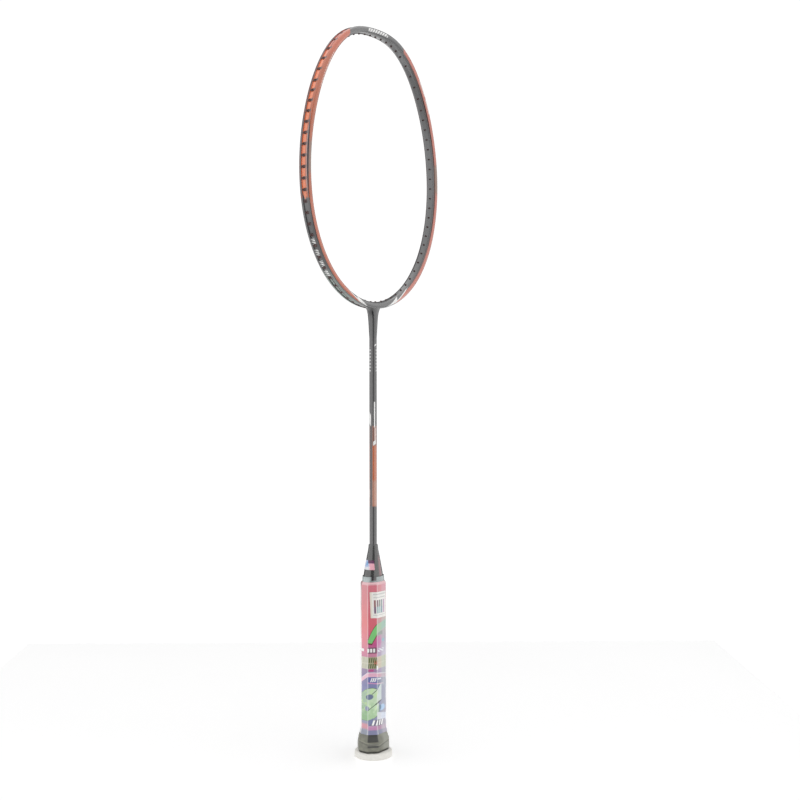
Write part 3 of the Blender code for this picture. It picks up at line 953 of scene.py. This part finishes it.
def frame_bands(paint, arc, across):
    """The long bands of colour, as layers; arc and across are the same on both sides and both faces."""
    start = (arc - across * 0.9).above(ORANGE_START, 1.2)
    edge_end = arc + across * 5.7
    groove = start * paint.around.between(-2.9, 3.1, 0.25) * (across - (-arc + 213) * 0.45).below(0, 0.3)
    upper = start * arc.below(UPPER_END, 1) * across.between(3.0, 10.8, 0.25)
    lower = arc.above(LOWER_START, 2) * edge_end.below(FLASH_START, 1) * across.below(10.9, 0.25)
    lower = lower * (across - arc * 0.0045).above(5.35, 0.25)
    orange = upper.most(lower)
    # painted shade: a dark maroon band where the orange front curves round toward the inside
    brown_painted_shade = arc.between(58, 300, 4) * edge_end.below(366, 2) * across.between(10.6, 12.1, 0.35)
    lens = abs(across - 6.1 + (arc - 180).squared() * 0.0008) + (arc - 176).squared() * 0.0006
    fade = arc.between(162, 190, 4) * across.between(7.2, 11.3, 0.4)
    pale_line = arc.between(150, 205, 3) * across.between(4.3, 4.9, 0.15)
    bars = hole_bars(arc, 1.3) * paint.around.between(0.5, 4.6, 0.4) * arc.above(50, 3) * arc.below(315, 3)
    back_lip = paint.around.between(-4.8, -3.0, 0.25) * arc.between(40, UPPER_END, 3)
    return (
        (arc.above(LOWER_START, 20) * across.above(11.8, 0.5), (62, 62, 63)),
        # painted light: pale grey-green on the lowest outer stretch, where bounce from the floor falls
        (arc.between(280, 328, 8) * across.below(5.8, 0.5), (104, 118, 110)),
        (brown_painted_shade, (82, 52, 48)),
        (orange, ORANGE_DEEP),
        (orange * paint.along.above(0, 1), (200, 108, 88)),
        (upper * paint.along.below(-1, 1), (184, 84, 32)),
        (upper * paint.along.between(-76, -1, 5), (198, 86, 40)),
        (groove, ORANGE),
        (groove * arc.below(72, 12), (208, 103, 82)),
        (fade, (142, 104, 84)),
        (pale_line, (196, 158, 150)),
        (lens.below(1.0, 0.2), (50, 44, 48)),
        (bars, (80, 52, 52)),
        (bars * arc.above(213, 1), (58, 54, 58)),
        (back_lip, (62, 46, 50)),
    )


def frame_marks(paint, arc, across):
    """The white flashes and the rows of plain bars where a product would carry its wording, as layers."""
    side, around = paint.along, paint.around
    flash = (arc + across * 5.7).between(FLASH_START, 374, 0.8) * across.between(7.6, 12.2, 0.3)
    wedge = (arc + across * 0.9).above(331.7, 0.6) * (arc + across * 3.16).below(360, 1)
    wedge = wedge * (arc * 0.073 + across).above(31.1, 0.2)
    ticks = side.between(-286.5, -246.5, 0.3) * around.between(-3.0, 1.1, 0.2)
    ticks = ticks * (side + around * 0.35).repeat(2.4).between(0.1, 0.75, 0.08)
    ticks = ticks * (-side - 246.5).repeat(10.8).below(0.72, 0.02)
    mark = side.between(-13.5, 16, 0.3) * around.between(7.2, 10.3, 0.15)
    mark = mark * (side + around * 0.8).repeat(3.6).between(0.1, 0.78, 0.05)
    blocks = side.between(78.5, 94.5, 0.5).most(side.between(97.5, 112, 0.5)) * around.between(5.4, 8.9, 0.3)
    dashes = side.between(-112, -74, 0.5) * around.between(8.6, 10, 0.2) * side.repeat(2.9).below(0.6, 0.1)
    return (
        (flash, WHITE),
        (wedge, WHITE),
        (ticks, WHITE),
        (mark, WHITE),
        (blocks, (236, 214, 206)),
        (dashes, (232, 190, 178)),
    )


def frame_lacquer():
    """Dark grey lacquer with an orange groove, orange edges and white flashes; a dark maroon band of painted
    shade where the orange front curves inward, and a pale grey-green of painted floor bounce on the lowest
    outer stretch.
    """
    paint = Paint("frame_lacquer_fine", 0.2, specular=1.0, coat=1.0)
    speckle = paint.grain(900, 2.0)
    base = paint.mottle(speckle, (70, 70, 71), (77, 77, 78))
    place = paint, abs(paint.along), abs(paint.around)
    colour = paint.layers(base, *frame_bands(*place), *frame_marks(*place))
    return paint.finish(colour, speckle, strength=0.05, depth=0.02 * MM)


def yoke_lacquer():
    """The frame's grey, with a small red patch on the front and on the back."""
    paint = Paint("yoke_lacquer_fine", 0.2, specular=1.0, coat=1.0)
    speckle = paint.grain(900, 2.0)
    base = paint.mottle(speckle, (66, 66, 67), (74, 74, 75))
    front = paint.around.repeat(180.0) * 180.0
    patch = front.between(62, 84, 2) * paint.along.between(413.2, 416.6, 0.3)
    stripe = (paint.along + front * 0.12).between(424.3, 425.8, 0.3)
    colour = paint.layers(base, (patch, srgb(205, 70, 80)), (patch * stripe, WHITE))
    return paint.finish(colour, speckle, strength=0.05, depth=0.02 * MM)


SHAFT_ORANGE_LOW, SHAFT_ORANGE_HIGH = 232, 307  # heights, in millimetres


def shaft_lacquer():
    """Gloss grey with an orange stretch; the marks repeat on the back, half a turn on."""
    paint = Paint("shaft_lacquer_fine", 0.15, specular=1.0, coat=1.0)
    turn = paint.around.repeat(180.0) * 180.0
    height = paint.along
    weave = paint.grain(600, 2.0, stretch=(1, 1, 0.4))
    base = paint.mottle(weave, (66, 65, 66), (74, 73, 74))
    face = turn.between(27, 153, 4)
    band = height.between(SHAFT_ORANGE_LOW, SHAFT_ORANGE_HIGH, 0.8)
    strip = turn.between(50, 71, 1.5) * height.between(306, 330, 0.4)
    wedge = turn.between(38, 84, 4) * (height - 291.6 - (turn - 60) * 0.045).between(-1.9, 1.9, 0.3)
    flash = turn.between(60, 84, 3) * height.between(294, 305.5, 1)
    side = turn.above(128, 3) * (height + (turn - 150) * 0.08).between(309.5, 320, 0.5)
    end = turn.between(124, 158, 3) * height.between(240, 247, 0.5)
    small = turn.above(84, 4) * height.between(358, 381, 0.5) * height.repeat(3.2).below(0.45, 0.1)
    sliver = turn.between(62, 96, 3) * (height - (turn - 78) * 0.04).between(382.4, 383.8, 0.3)
    colour = paint.layers(
        base,
        (band, (72, 50, 46)),
        (band * face, (196, 106, 66)),
        (height.between(289, SHAFT_ORANGE_HIGH, 1.5) * face, (140, 98, 86)),
        (height.between(SHAFT_ORANGE_LOW, 256, 1.5) * face, (190, 136, 114)),
        (flash.most(end), (225, 196, 186)),
        (strip.most(sliver), WHITE),
        (wedge, WHITE),
        (side, WHITE),
        (small, (190, 190, 190)),
    )
    return paint.finish(colour, weave, strength=0.04, depth=0.02 * MM)


def cone_gloss():
    """Gloss black, with a faint rose painted reflection of the film down the front."""
    paint = Paint("cone_gloss_fine", 0.15, specular=1.0, coat=1.0)
    flow = paint.grain(260, 3.0)
    base = paint.mottle(flow, (46, 47, 46), (56, 57, 56))
    # painted reflection: a faint rose band where the film shows in the gloss
    painted_film_reflection = paint.around.between(262, 285, 4) * paint.along.between(166, 184, 3)
    colour = paint.layers(base, (painted_film_reflection, srgb(120, 70, 75)))
    return paint.finish(colour, flow, strength=0.08, depth=0.05 * MM)


def sticker_print():
    """A pale sticker in plain bands of blue, plum and rose."""
    paint = Paint("cone_patch_print", 0.3)
    turn, height = paint.around, paint.along
    slant = height - 176.5 - (turn - 180) * 0.03
    fibre = paint.grain(1500, 2.0)
    stops = ((130, (205, 205, 232)), (178, (170, 195, 225)), (196, (235, 180, 205)))
    base = paint.ramp(turn, [(at, srgb(*colour)) for at, colour in stops])
    colour = paint.layers(
        base,
        (slant.below(-1.2, 0.4) * turn.below(196, 4), (225, 225, 232)),
        (turn.between(172, 236, 3) * height.above(178.4, 0.4), (105, 60, 95)),
        (turn.between(158, 176, 4) * height.between(176.5, 180, 0.5), (120, 170, 215)),
        (turn.above(194, 4) * height.below(178.2, 0.4), (240, 175, 190)),
    )
    return paint.finish(colour, fibre, strength=0.05, depth=0.03 * MM)


FACET_EDGE = 4.35  # half the width of the facet that faces front left, in millimetres round the handle
SHEEN = {  # by facet: how much light the film reflects, and what share of the ink is seen through it
    "left": (0.14, 0.80),
    "middle": (0.03, 0.745),
    "right": (0.19, 0.785),
}
PALEST, DARKEST = 0.95, 0.012  # inks


def ink(facet, *colour):
    """Ink that reads as a display colour on one of the handle's facets, through the film's sheen."""
    sheen, share = SHEEN[facet]
    return (*(min(max((value - sheen) / share, DARKEST), PALEST) for value in srgb(*colour)[:3]), 1.0)


def facet_shaded_inks(paint, left, middle, right, far=None):
    """One printed colour in lit and shaded copies for the left, middle, right and far right of the handle:
    painted light and shade by facet, with a painted sheen on the far right.
    """
    stops = [(-4.7, ink("left", *left)), (-4.1, ink("middle", *middle)), (4.1, ink("middle", *middle)),
             (4.7, ink("right", *right)), (8.5, ink("right", *right)), (12.5, ink("right", *(far or right)))]
    return paint.ramp(paint.around, stops)


def slab(paint, sides, heights, slope=0.0, soft=0.25):
    """1 in a band between two places round the handle and two heights, with a slope."""
    level = paint.along - paint.around * slope
    return paint.around.between(*sides, soft) * level.between(*heights, soft)


FILM_SHADED_BLENDS = (  # facet, and its colours from the foot up: height, red, green, blue; the last is its far edge. The facets' blends are lit and shaded copies (painted light and shade), the far edge lighter by a painted sheen
    ("left", (19, 150, 154, 166), (40, 165, 165, 190), (64, 144, 145, 178), (78, 162, 148, 172),
     (93, 208, 148, 168), (106, 224, 150, 160), (122, 228, 149, 151), (157, 214, 152, 158)),
    ("middle", (19, 126, 127, 154), (40, 128, 130, 156), (64, 124, 128, 164), (78, 148, 126, 156),
     (93, 188, 128, 150), (102, 178, 92, 134), (118, 200, 104, 114), (157, 200, 118, 130)),
    ("right", (19, 152, 154, 170), (44, 164, 168, 190), (63, 142, 154, 172), (78, 180, 166, 190),
     (93, 186, 174, 194), (106, 206, 166, 192), (118, 190, 176, 178), (128, 214, 165, 166),
     (157, 220, 158, 164)),
    ("right", (19, 180, 176, 188), (63, 182, 187, 197), (78, 184, 184, 192), (93, 206, 202, 214),
     (106, 190, 183, 195), (118, 196, 194, 190), (130, 212, 192, 190), (157, 222, 172, 182)),
)


def film_blend(paint, level, facet, *stops):
    """A facet's blend of inks by height."""
    return paint.ramp(level, [(height, ink(facet, *colour)) for height, *colour in stops])


def film_print():
    """Clear glossy film printed with a rose to violet blend, plain bars, a green stroke and a leaf; its inks
    differ facet by facet by painted light and shade, with painted highlights along the facet edges.
    """
    paint = Paint("film_print_fine", 0.2, specular=1.0, coat=1.0)
    place, height = paint.around, paint.along
    cloud = paint.grain(70, 3.0)
    fine = paint.grain(500, 2.0)
    level = height + (cloud - 0.5) * 5
    left, middle, right, far = (film_blend(paint, level, *blend) for blend in FILM_SHADED_BLENDS)
    # The print in lit and shaded copies by facet: painted light and shade, with a painted sheen toward the
    # far right.
    colour = paint.layers(
        left,
        (place.above(-FACET_EDGE, 0.35), middle),
        (place.above(FACET_EDGE, 0.35), right),
        (place.above(11, 2.5), far),
    )
    colour = green_stroke(paint, colour)
    colour = film_bars(paint, colour)
    colour = leaves(paint, colour)
    colour = film_foot(paint, colour)
    # painted highlight: thin pale lines along the facet edges, where their rounding catches the light
    edges = (abs(place) - FACET_EDGE - 0.4).between(-0.35, 0.35, 0.3)
    neck = height.above(161.2, 0.3)
    shadow = neck * place.between(-1.7, 4.0, 0.5) * height.above(162.6, 0.6)
    colour = paint.layers(
        colour,
        (edges * 0.35, WHITE),
        (height.between(158.8, 161.2, 0.5), (228, 178, 184)),
        (neck, paint.ramp(cloud, ((0.35, srgb(128, 138, 138)), (0.65, srgb(182, 194, 194))))),
        (shadow, (46, 40, 44)),
    )
    return paint.finish(colour, cloud + fine * 0.3, strength=0.25, depth=0.25 * MM)


def green_stroke(paint, colour):
    """A round-ended stroke that climbs to the right and levels off, with a dark edge."""
    place, height = paint.around, paint.along
    rise = ((place + 4) * (1 / 9)).most(0.0).least(1.0)
    beyond = (place - 5).most(0.0)
    upper = rise * (-rise * 0.6 + 1.6) * 14.6 + 107.2 + beyond * 0.22
    lower = (place + 0.7).most(0.0).least(5.5) * 1.75 + (-place - 0.7).most(0.0) * 0.2 + 103.7 + beyond * 0.35
    inside = (upper - height).above(0, 0.3) * (height - lower).above(0, 0.3) * place.above(-4.3, 0.4)
    front = place.between(-4.9, FACET_EDGE, 0.4)
    edge = (upper + 0.9 - height).above(0, 0.3) * (height - lower + 1.3).above(0, 0.3) * front
    return paint.layers(
        colour,
        (ellipse(paint, (6.6, 105.4), (3.2, 5.6), 0, 0.5), ink("right", 204, 146, 180)),
        (ellipse(paint, (13.4, 105.8), (1.9, 1.7), 0, 0.4), ink("right", 168, 198, 206)),
        (slab(paint, (4.6, 12.5), (110.2, 113.6), 0.1, 0.8), ink("right", 170, 176, 172)),
        (edge, ink("middle", 104, 70, 70)),
        (inside, facet_shaded_inks(paint, (150, 190, 150), (122, 186, 120), (180, 206, 176), (178, 204, 192))),
    )


def film_bars(paint, colour):
    """Plain bars where a product would carry its wording."""
    place, height = paint.around, paint.along
    row_back = slab(paint, (-5.2, 4.0), (94.4, 100.0), 0, 0.5)
    row = slab(paint, (-5.2, 3.2), (95.4, 98.9), 0, 0.2)
    row = row * (place + 5.2).repeat(2.8).between(0.05, 0.72, 0.05)
    row_left = slab(paint, (-20, -9.2), (96.0, 98.6), 0, 0.3)
    row_right = slab(paint, (5.4, 14.5), (95.4, 98.4), 0, 0.4)
    row_right = row_right * (place * 0.5 + height).repeat(2.6).below(0.6, 0.2)
    olive = height.between(79.8, 91.0, 0.6)
    olive_edge = slab(paint, (1.4, 5.2), (83.6, 87.6), 0, 0.8)
    rows = height.between(85.6, 90.4, 0.25).most(height.between(80.2, 84.6, 0.25))
    strokes = (place + height * 0.12).repeat(1.75).between(0.1, 0.62, 0.1) * rows
    band_middle = (place + 5).least(0.0).most(-9.0) * 0.75 - (place - 2).most(0.0) * 0.16 + 74.3
    band = height - band_middle
    box = slab(paint, (-4.5, 13.5), (66.4, 72.2), -0.05, 0.4)
    box_line = slab(paint, (-4.6, 14), (65.6, 66.5), -0.11, 0.2)
    italic = place - (height - 69) * 0.35
    italic_strokes = height.between(67.4, 71.2, 0.15) * italic.between(-1.8, 3.6, 0.15)
    italic_strokes = italic_strokes * italic.repeat(1.9).below(0.62, 0.08)
    italic_bar = slab(paint, (4.6, 10.4), (69.9, 71.2), -0.1, 0.25)
    return paint.layers(
        colour,
        (row_back, facet_shaded_inks(paint, (178, 140, 158), (112, 84, 100), (205, 170, 192))),
        (row.most(row_left), WHITE),
        (row_right, ink("right", 226, 228, 234)),
        (olive, facet_shaded_inks(paint, (206, 204, 190), (164, 158, 134), (216, 203, 188), (207, 210, 196))),
        (olive_edge, facet_shaded_inks(paint, (214, 150, 140), (176, 116, 100), (222, 166, 154))),
        (strokes, facet_shaded_inks(paint, (188, 188, 170), (74, 92, 62), (206, 196, 176), (196, 202, 184))),
        (slab(paint, (3.8, 5.8), (78.8, 82.4), 0, 0.3), WHITE),
        (slab(paint, (-4.2, 1.0), (77.2, 79.4), 0, 0.5), ink("middle", 176, 92, 134)),
        (box, facet_shaded_inks(paint, (140, 138, 190), (106, 110, 156), (152, 157, 175), (180, 180, 192))),
        (abs(band).below(2.1, 0.3), facet_shaded_inks(
            paint, (224, 216, 224), (206, 192, 204), (226, 222, 228), (216, 214, 218))),
        (band.between(-2.0, 1.3, 0.25), facet_shaded_inks(
            paint, (228, 190, 204), (210, 164, 184), (212, 176, 188), (202, 190, 197))),
        (box_line, facet_shaded_inks(paint, (220, 180, 200), (196, 140, 174), (222, 188, 202), (205, 194, 202))),
        (italic_strokes, WHITE),
        (italic_bar, ink("right", 222, 226, 232)),
    )


def ellipse(paint, middle, reach, tilt, soft):
    """1 inside an ellipse on the surface: its middle and reach are (around, height)."""
    cos, sin = math.cos(math.radians(tilt)), math.sin(math.radians(tilt))
    across, up = paint.around - middle[0], paint.along - middle[1]
    first = (across * cos + up * sin) * (1 / reach[0])
    second = (up * cos - across * sin) * (1 / reach[1])
    return (first.squared() + second.squared()).below(1.0, soft * 2)


def leaves(paint, colour):
    """A pale green leaf of two lobes with dark midribs and two oval spots, and light splashes beside it."""
    place, height = paint.around, paint.along
    top = -(place + 1).squared() * 0.045 + 61.3
    lower_rib = ((place + 4.4) * 0.76 + 40.4).least((place - 4.4) * 0.35 + 47.1)
    reach = -(-height + 40).most(0.0).squared() * 0.12 + 6.9
    tip = (place - 4.8) * 0.95 + 59.8
    upper_lobe = (top.most((place - 4).above(0, 0.3) * tip) - height).above(0, 0.3) * place.below(10.9, 0.4)
    upper_lobe = upper_lobe * (height - lower_rib).above(-0.4, 0.3) * place.above(-17, 1)
    lower_lobe = (reach - place).above(0, 0.4) * height.between(31.2, 46.5, 0.4) * place.above(-17, 1)
    shape = upper_lobe.most(lower_lobe)
    rim = (reach + 0.9 - place).above(0, 0.4) * height.between(30.5, 45.0, 0.4) * place.above(-17, 1)
    top_rim = (top + 0.6 - height).above(0, 0.3) * height.above(50, 1) * place.between(-17, 4.5, 0.4)
    patches = paint.grain(230, 2.0)
    upper_spot = ellipse(paint, (-3.2, 53.2), (3.9, 2.6), 8, 0.15)
    lower_spot = ellipse(paint, (-5.6, 42.2), (2.4, 2.2), 0, 0.2)
    rib_upper = (height - place * 0.8 - 56.2).between(-0.35, 0.35, 0.2) * place.between(-0.8, 5.2, 0.3)
    thick = place.between(3, 8.5, 1.5) * 0.4 + 0.4
    rib_lower = (abs(height - lower_rib) - thick).below(0, 0.2) * place.between(-4.6, 10.8, 0.3)
    foam = slab(paint, (4.6, 24), (32.6, 39.6), -0.22, 0.5)
    splash = ellipse(paint, (12.0, 41.9), (4.0, 2.9), 4, 0.25)
    splash_core = ellipse(paint, (9.0, 42.4), (1.6, 2.4), 0, 0.3)
    light = facet_shaded_inks(paint, (170, 190, 170), (180, 200, 172), (206, 216, 213))
    deep = facet_shaded_inks(paint, (154, 184, 148), (150, 180, 140), (176, 196, 178))
    return paint.layers(
        colour,
        (slab(paint, (7, 15.5), (44.6, 62.5), 0, 0.8), facet_shaded_inks(
            paint, (165, 165, 190), (140, 140, 170), (160, 162, 186), (174, 176, 190))),
        (top_rim.most(rim), facet_shaded_inks(paint, (140, 160, 140), (92, 112, 92), (130, 146, 132))),
        (shape, light),
        (shape * (height + (patches - 0.5) * 30).below(42, 6), deep),
        (shape * patches.above(0.56, 0.06) * place.below(6, 1) * height.above(40, 4), facet_shaded_inks(
            paint, (183, 206, 164), (182, 206, 160), (200, 214, 190))),
        (upper_spot * shape, facet_shaded_inks(paint, (128, 138, 158), (108, 118, 142), (130, 140, 150))),
        (lower_spot * shape, facet_shaded_inks(paint, (152, 158, 178), (116, 126, 148), (150, 150, 170))),
        (rib_upper.most(rib_lower), facet_shaded_inks(paint, (92, 112, 92), (74, 94, 74), (110, 124, 116))),
        (foam, facet_shaded_inks(paint, (210, 214, 224), (200, 196, 214), (216, 218, 224), (216, 222, 234))),
        (splash, ink("right", 184, 208, 234)),
        (splash_core, ink("right", 132, 152, 168)),
    )


def film_foot(paint, colour):
    """The film's lowest print: slanted plain bars over a dark strip, then a magenta strip."""
    place, height = paint.around, paint.along
    strip = slab(paint, (-3.8, 17), (25.6, 31.4), -0.06, 0.5)
    corner = slab(paint, (-4.6, 0.4), (28.2, 32.8), 0.5, 0.6)
    italic = place - (height - 28) * 0.34
    level = (height + place * 0.05).between(26.2, 31.0, 0.2)
    strokes = (italic + 0.3).repeat(3.7).below(0.5, 0.05) * italic.between(-0.6, 13.6, 0.2)
    salmon = height.between(22.8, 27.6, 1.2) * place.below(-4.4, 0.6)
    magenta = (height + (place - 4).most(0.0) * 0.05).between(21.7, 25.5, 0.5) * place.above(-4.6, 0.6)
    return paint.layers(
        colour,
        (strip, facet_shaded_inks(paint, (150, 145, 160), (96, 90, 112), (120, 116, 132), (186, 182, 192))),
        (corner, ink("middle", 96, 104, 140)),
        (strokes * level, WHITE),
        (salmon, ink("left", 208, 156, 166)),
        (magenta, facet_shaded_inks(paint, (200, 140, 160), (176, 130, 163), (182, 150, 172), (196, 184, 196))),
    )


LABEL_BARS_BOTTOM, LABEL_BAR_WIDTH = 132.3, 1.9
LABEL_BARS = (  # left edge, top, colour: the upright bars, and then the feet over four of them
    (0.8, 144.8, (150, 104, 106)),
    (3.8, 144.8, (118, 92, 104)),
    (6.8, 144.8, (112, 122, 108)),
    (9.8, 144.8, (140, 156, 160)),
    (12.8, 144.8, (196, 160, 190)),
    (0.8, 138.4, (124, 102, 128)),
    (3.8, 138.4, (150, 186, 190)),
    (6.8, 138.4, (158, 196, 196)),
    (9.8, 138.4, (124, 152, 170)),
)


def label_print():
    """White label with plain bars in place of its wording and of its colour flashes."""
    paint = Paint("label_print_fine", 0.35, specular=0.6, coat=0.5)
    place, height = paint.around, paint.along
    paper = paint.grain(900, 3.0)
    base = paint.mottle(paper, (238, 236, 230), (246, 244, 240))
    text = slab(paint, (0.2, 15.5), (149.6, 150.9)).most(slab(paint, (0.2, 15.5), (146.7, 147.8)))
    foot = slab(paint, (-0.2, 15.5), (130.2, 131.0), 0, 0.15)
    gaps = (place + height).repeat(1.5).below(0.66, 0.15)
    margin = place.below(-1.0, 0.4)
    colour = paint.layers(
        base,
        (margin, (232, 226, 212)),
        (text.most(foot) * gaps * 0.6, (140, 146, 150)),
        *((slab(paint, (left, left + LABEL_BAR_WIDTH), (LABEL_BARS_BOTTOM, top), 0, 0.3), shade)
          for left, top, shade in LABEL_BARS),
    )
    return paint.finish(colour, paper, strength=0.05, depth=0.02 * MM)


def grip_rubber():
    """Tacky wrap with a fine diagonal emboss; painted shade below the tape's seam and a painted highlight
    above it, painted shade in bands on the front facet, and painted light toward the far right.
    """
    paint = Paint("grip_rubber_fine", 0.45, specular=1.0)
    place, height = paint.around, paint.along
    wear = paint.grain(240, 4.0)
    up, down = ((place + slope).repeat(0.9).between(0.2, 0.8, 0.2) for slope in (height, -height))
    seam = height - SEAM_HEIGHT / MM - abs(place - SEAM_CORNER / MM) * SEAM_SLOPE
    base = paint.mottle(wear, (100, 100, 88), (122, 122, 106))
    front = abs(place).below(FACET_EDGE - 0.1, 0.3)
    colour = paint.layers(
        base,
        # painted light: the far right side lighter
        (place.above(10, 3), (142, 143, 132)),
        # painted shade below the tape's seam, then a painted highlight above it
        (seam.between(-1.5, -0.1, 0.3) * 0.5, (62, 62, 54)),
        (seam.between(0.1, 1.1, 0.3) * 0.5, (140, 140, 122)),
        # painted shade on the front facet: two dark bands, with a less dark band between them
        (front * height.between(10.9, 18, 0.5), (44, 44, 40)),
        (front * height.between(5.7, 7.5, 0.4), (50, 50, 46)),
        (front * height.between(8.4, 9.5, 0.3), (104, 104, 96)),
        (height.below(2.2, 0.6), (62, 62, 54)),
    )
    return paint.finish(colour, up * down * 0.6 + wear, strength=0.35, depth=0.15 * MM)


PLAIN_LOOKS = (  # name, roughness, grain, dark and light, bump strength and depth
    ("grommet_nylon_fine", 0.35, (700, 2.0), (76, 50, 48), (90, 62, 60), 0.1, 0.03 * MM),
    ("butt_plastic_fine", 0.45, (420, 3.0), (58, 58, 52), (74, 74, 66), 0.15, 0.05 * MM),
    ("handle_wood_fine", 0.55, (60, 4.0, (4, 4, 0.3)), (196, 160, 112), (225, 192, 146), 0.2, 0.1 * MM),
    ("t_joint_composite_fine", 0.55, (400, 3.0, (1, 1, 4)), (60, 60, 64), (95, 95, 100), 0.2, 0.1 * MM),
)


def plain_look(name, roughness, grain, dark, light, strength, depth):
    """The look of a piece with no pattern of its own: moulded plastic, wood or the hidden insert."""
    paint = Paint(name, roughness)
    field = paint.grain(*grain)
    return paint.finish(paint.mottle(field, dark, light), field, strength, depth)


def dress(node, look):
    """A CAD node that stays as it is gets a detailed material."""
    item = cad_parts[node]
    item.data.materials.clear()
    item.data.materials.append(look)


# Stage


FLOOR_DROP = 5.8 * MM
FLOOR_FRONT = 0.17  # how far it comes toward the camera
FLOOR_REACH = 0.45  # how far it goes to each side and back
FLOOR_GLOW = 0.25  # the sheet is lit from below as well
DISC_RADIUS = 17.9 * MM


def make_floor():
    """A white sheet that ends a little in front of the racket."""
    paint = Paint("studio_floor", 0.3)
    tones = ((0.2, srgb(240, 240, 240)), (0.8, srgb(243, 243, 243)))
    look = paint.finish(paint.ramp(paint.grain(3, 2.0), tones))
    paint.shader.inputs["Emission Color"].default_value = (1, 1, 1, 1)
    paint.shader.inputs["Emission Strength"].default_value = FLOOR_GLOW
    facing = Vector((CAMERA_PLACE[0], CAMERA_PLACE[1], 0)).normalized()
    sideways = Vector((facing.y, -facing.x, 0))
    mesh = bpy.data.meshes.new("studio_floor")
    corners = [
        forward * facing + across * sideways - Vector((0, 0, FLOOR_DROP))
        for forward, across in ((FLOOR_FRONT, -FLOOR_REACH), (FLOOR_FRONT, FLOOR_REACH),
                                (-FLOOR_REACH, FLOOR_REACH), (-FLOOR_REACH, -FLOOR_REACH))
    ]
    mesh.from_pydata(corners, [], [(0, 1, 2, 3)])
    mesh.materials.append(look)
    put_on_stage(mesh)


def make_disc():
    """The low white disc that the racket stands on."""
    paint = Paint("studio_disc", 0.5)
    clay = paint.grain(300, 3.0, stretch=(1, 1, 4))
    profile = ((DISC_RADIUS - MM, -FLOOR_DROP), (DISC_RADIUS, 0.4 * MM - FLOOR_DROP),
               (DISC_RADIUS, -1.2 * MM), (DISC_RADIUS - 1.2 * MM, -0.05 * MM))
    rings = [oval(height, radius, radius, ROUND_SIDES) for radius, height in profile]
    mesh = loft("studio_disc", rings, [height for _, height in profile], degrees_around(ROUND_SIDES))
    colour = paint.mottle(clay, (222, 220, 214), (236, 234, 228))
    mesh.materials.append(paint.finish(colour, clay, strength=0.3))
    smooth(mesh, 50)
    put_on_stage(mesh)


def put_on_stage(mesh):
    item = bpy.data.objects.new(mesh.name, mesh)
    bpy.context.scene.collection.objects.link(item)


SIDE_LIGHT = 1.15  # strengths of the surroundings: level with the racket, above it and below it
TOP_LIGHT = 1.2
LOW_LIGHT = 0.7
SEEN_LIGHT = 1.05  # as the backdrop
TOP_START = 0.86  # heights of a direction, from -1 straight down to 1 straight up
LOW_START = -0.35
GAP_LIGHT = 0.2
GAP_AZIMUTH = 227
GAP_REACH = 21  # degrees to each side of its azimuth
GAP_SOFTNESS = 0.03
GAP_HEIGHTS = (-0.6, 0.6)
BACK_LIGHT = 0.15  # share of the light left behind the racket
BACK_REACH = 125  # degrees from the gap's azimuth at which it starts
BACK_HEIGHTS = (-0.2, 0.65)


def make_world():
    """Pale surroundings, with a dark gap behind the camera that gives gloss its dark middle."""
    world = bpy.data.worlds.new("studio")
    bpy.context.scene.world = world
    world.use_nodes = True
    tree = world.node_tree
    surround = tree.nodes["Background"]
    direction = tree.nodes.new("ShaderNodeTexCoord")
    parts = tree.nodes.new("ShaderNodeSeparateXYZ")
    tree.links.new(direction.outputs["Generated"], parts.inputs[0])
    x, y, z = (Field(tree, output) for output in parts.outputs)
    level = (x.squared() + y.squared()).calculate("SQRT")
    gap_turn = math.radians(GAP_AZIMUTH)
    toward = (x * math.cos(gap_turn) + y * math.sin(gap_turn)).calculate("DIVIDE", level + 0.001)
    high = z.above(TOP_START, 0.1)
    low = z.below(LOW_START, 0.2)
    gap = toward.above(math.cos(math.radians(GAP_REACH)), GAP_SOFTNESS) * z.between(*GAP_HEIGHTS, 0.2)
    behind = toward.below(math.cos(math.radians(BACK_REACH)), 0.2) * z.between(*BACK_HEIGHTS, 0.1)
    light = high * (TOP_LIGHT - SIDE_LIGHT) + low * (LOW_LIGHT - SIDE_LIGHT) + SIDE_LIGHT
    light = (light - gap * (SIDE_LIGHT - GAP_LIGHT)) * (-behind * (1 - BACK_LIGHT) + 1.0)
    tree.links.new(light.socket, surround.inputs["Strength"])
    seen = tree.nodes.new("ShaderNodeBackground")
    seen.inputs["Strength"].default_value = SEEN_LIGHT
    for background in (surround, seen):
        background.inputs["Color"].default_value = (1, 1, 1, 1)
    rays = tree.nodes.new("ShaderNodeLightPath")
    mix = tree.nodes.new("ShaderNodeMixShader")
    tree.links.new(rays.outputs["Is Camera Ray"], mix.inputs[0])
    tree.links.new(surround.outputs[0], mix.inputs[1])
    tree.links.new(seen.outputs[0], mix.inputs[2])
    tree.links.new(mix.outputs[0], tree.nodes["World Output"].inputs["Surface"])


def make_camera():
    lens = bpy.data.cameras.new("camera")
    lens.lens = LENS
    lens.sensor_width = SENSOR
    camera = bpy.data.objects.new("camera", lens)
    camera.location = CAMERA_PLACE
    camera.rotation_euler = Vector(CAMERA_DIRECTION).to_track_quat("-Z", "Y").to_euler()
    bpy.context.scene.collection.objects.link(camera)
    bpy.context.scene.camera = camera


def main():
    bpy.context.scene.view_settings.view_transform = "Standard"
    make_camera()
    make_world()
    make_floor()
    make_disc()
    nylon, cap, wood, composite = (plain_look(*row) for row in PLAIN_LOOKS)
    lacquer = frame_lacquer()
    make_head(lacquer, yoke_lacquer())
    make_single_grommets(nylon)
    make_strips(nylon, lacquer)
    make_shaft(shaft_lacquer())
    make_cone(cone_gloss())
    make_sticker(sticker_print())
    make_grip(grip_rubber())
    make_butt_cap(cap)
    make_film(film_print())
    make_label(label_print())
    dress("handle_core", wood)
    dress("t_joint", composite)


main()
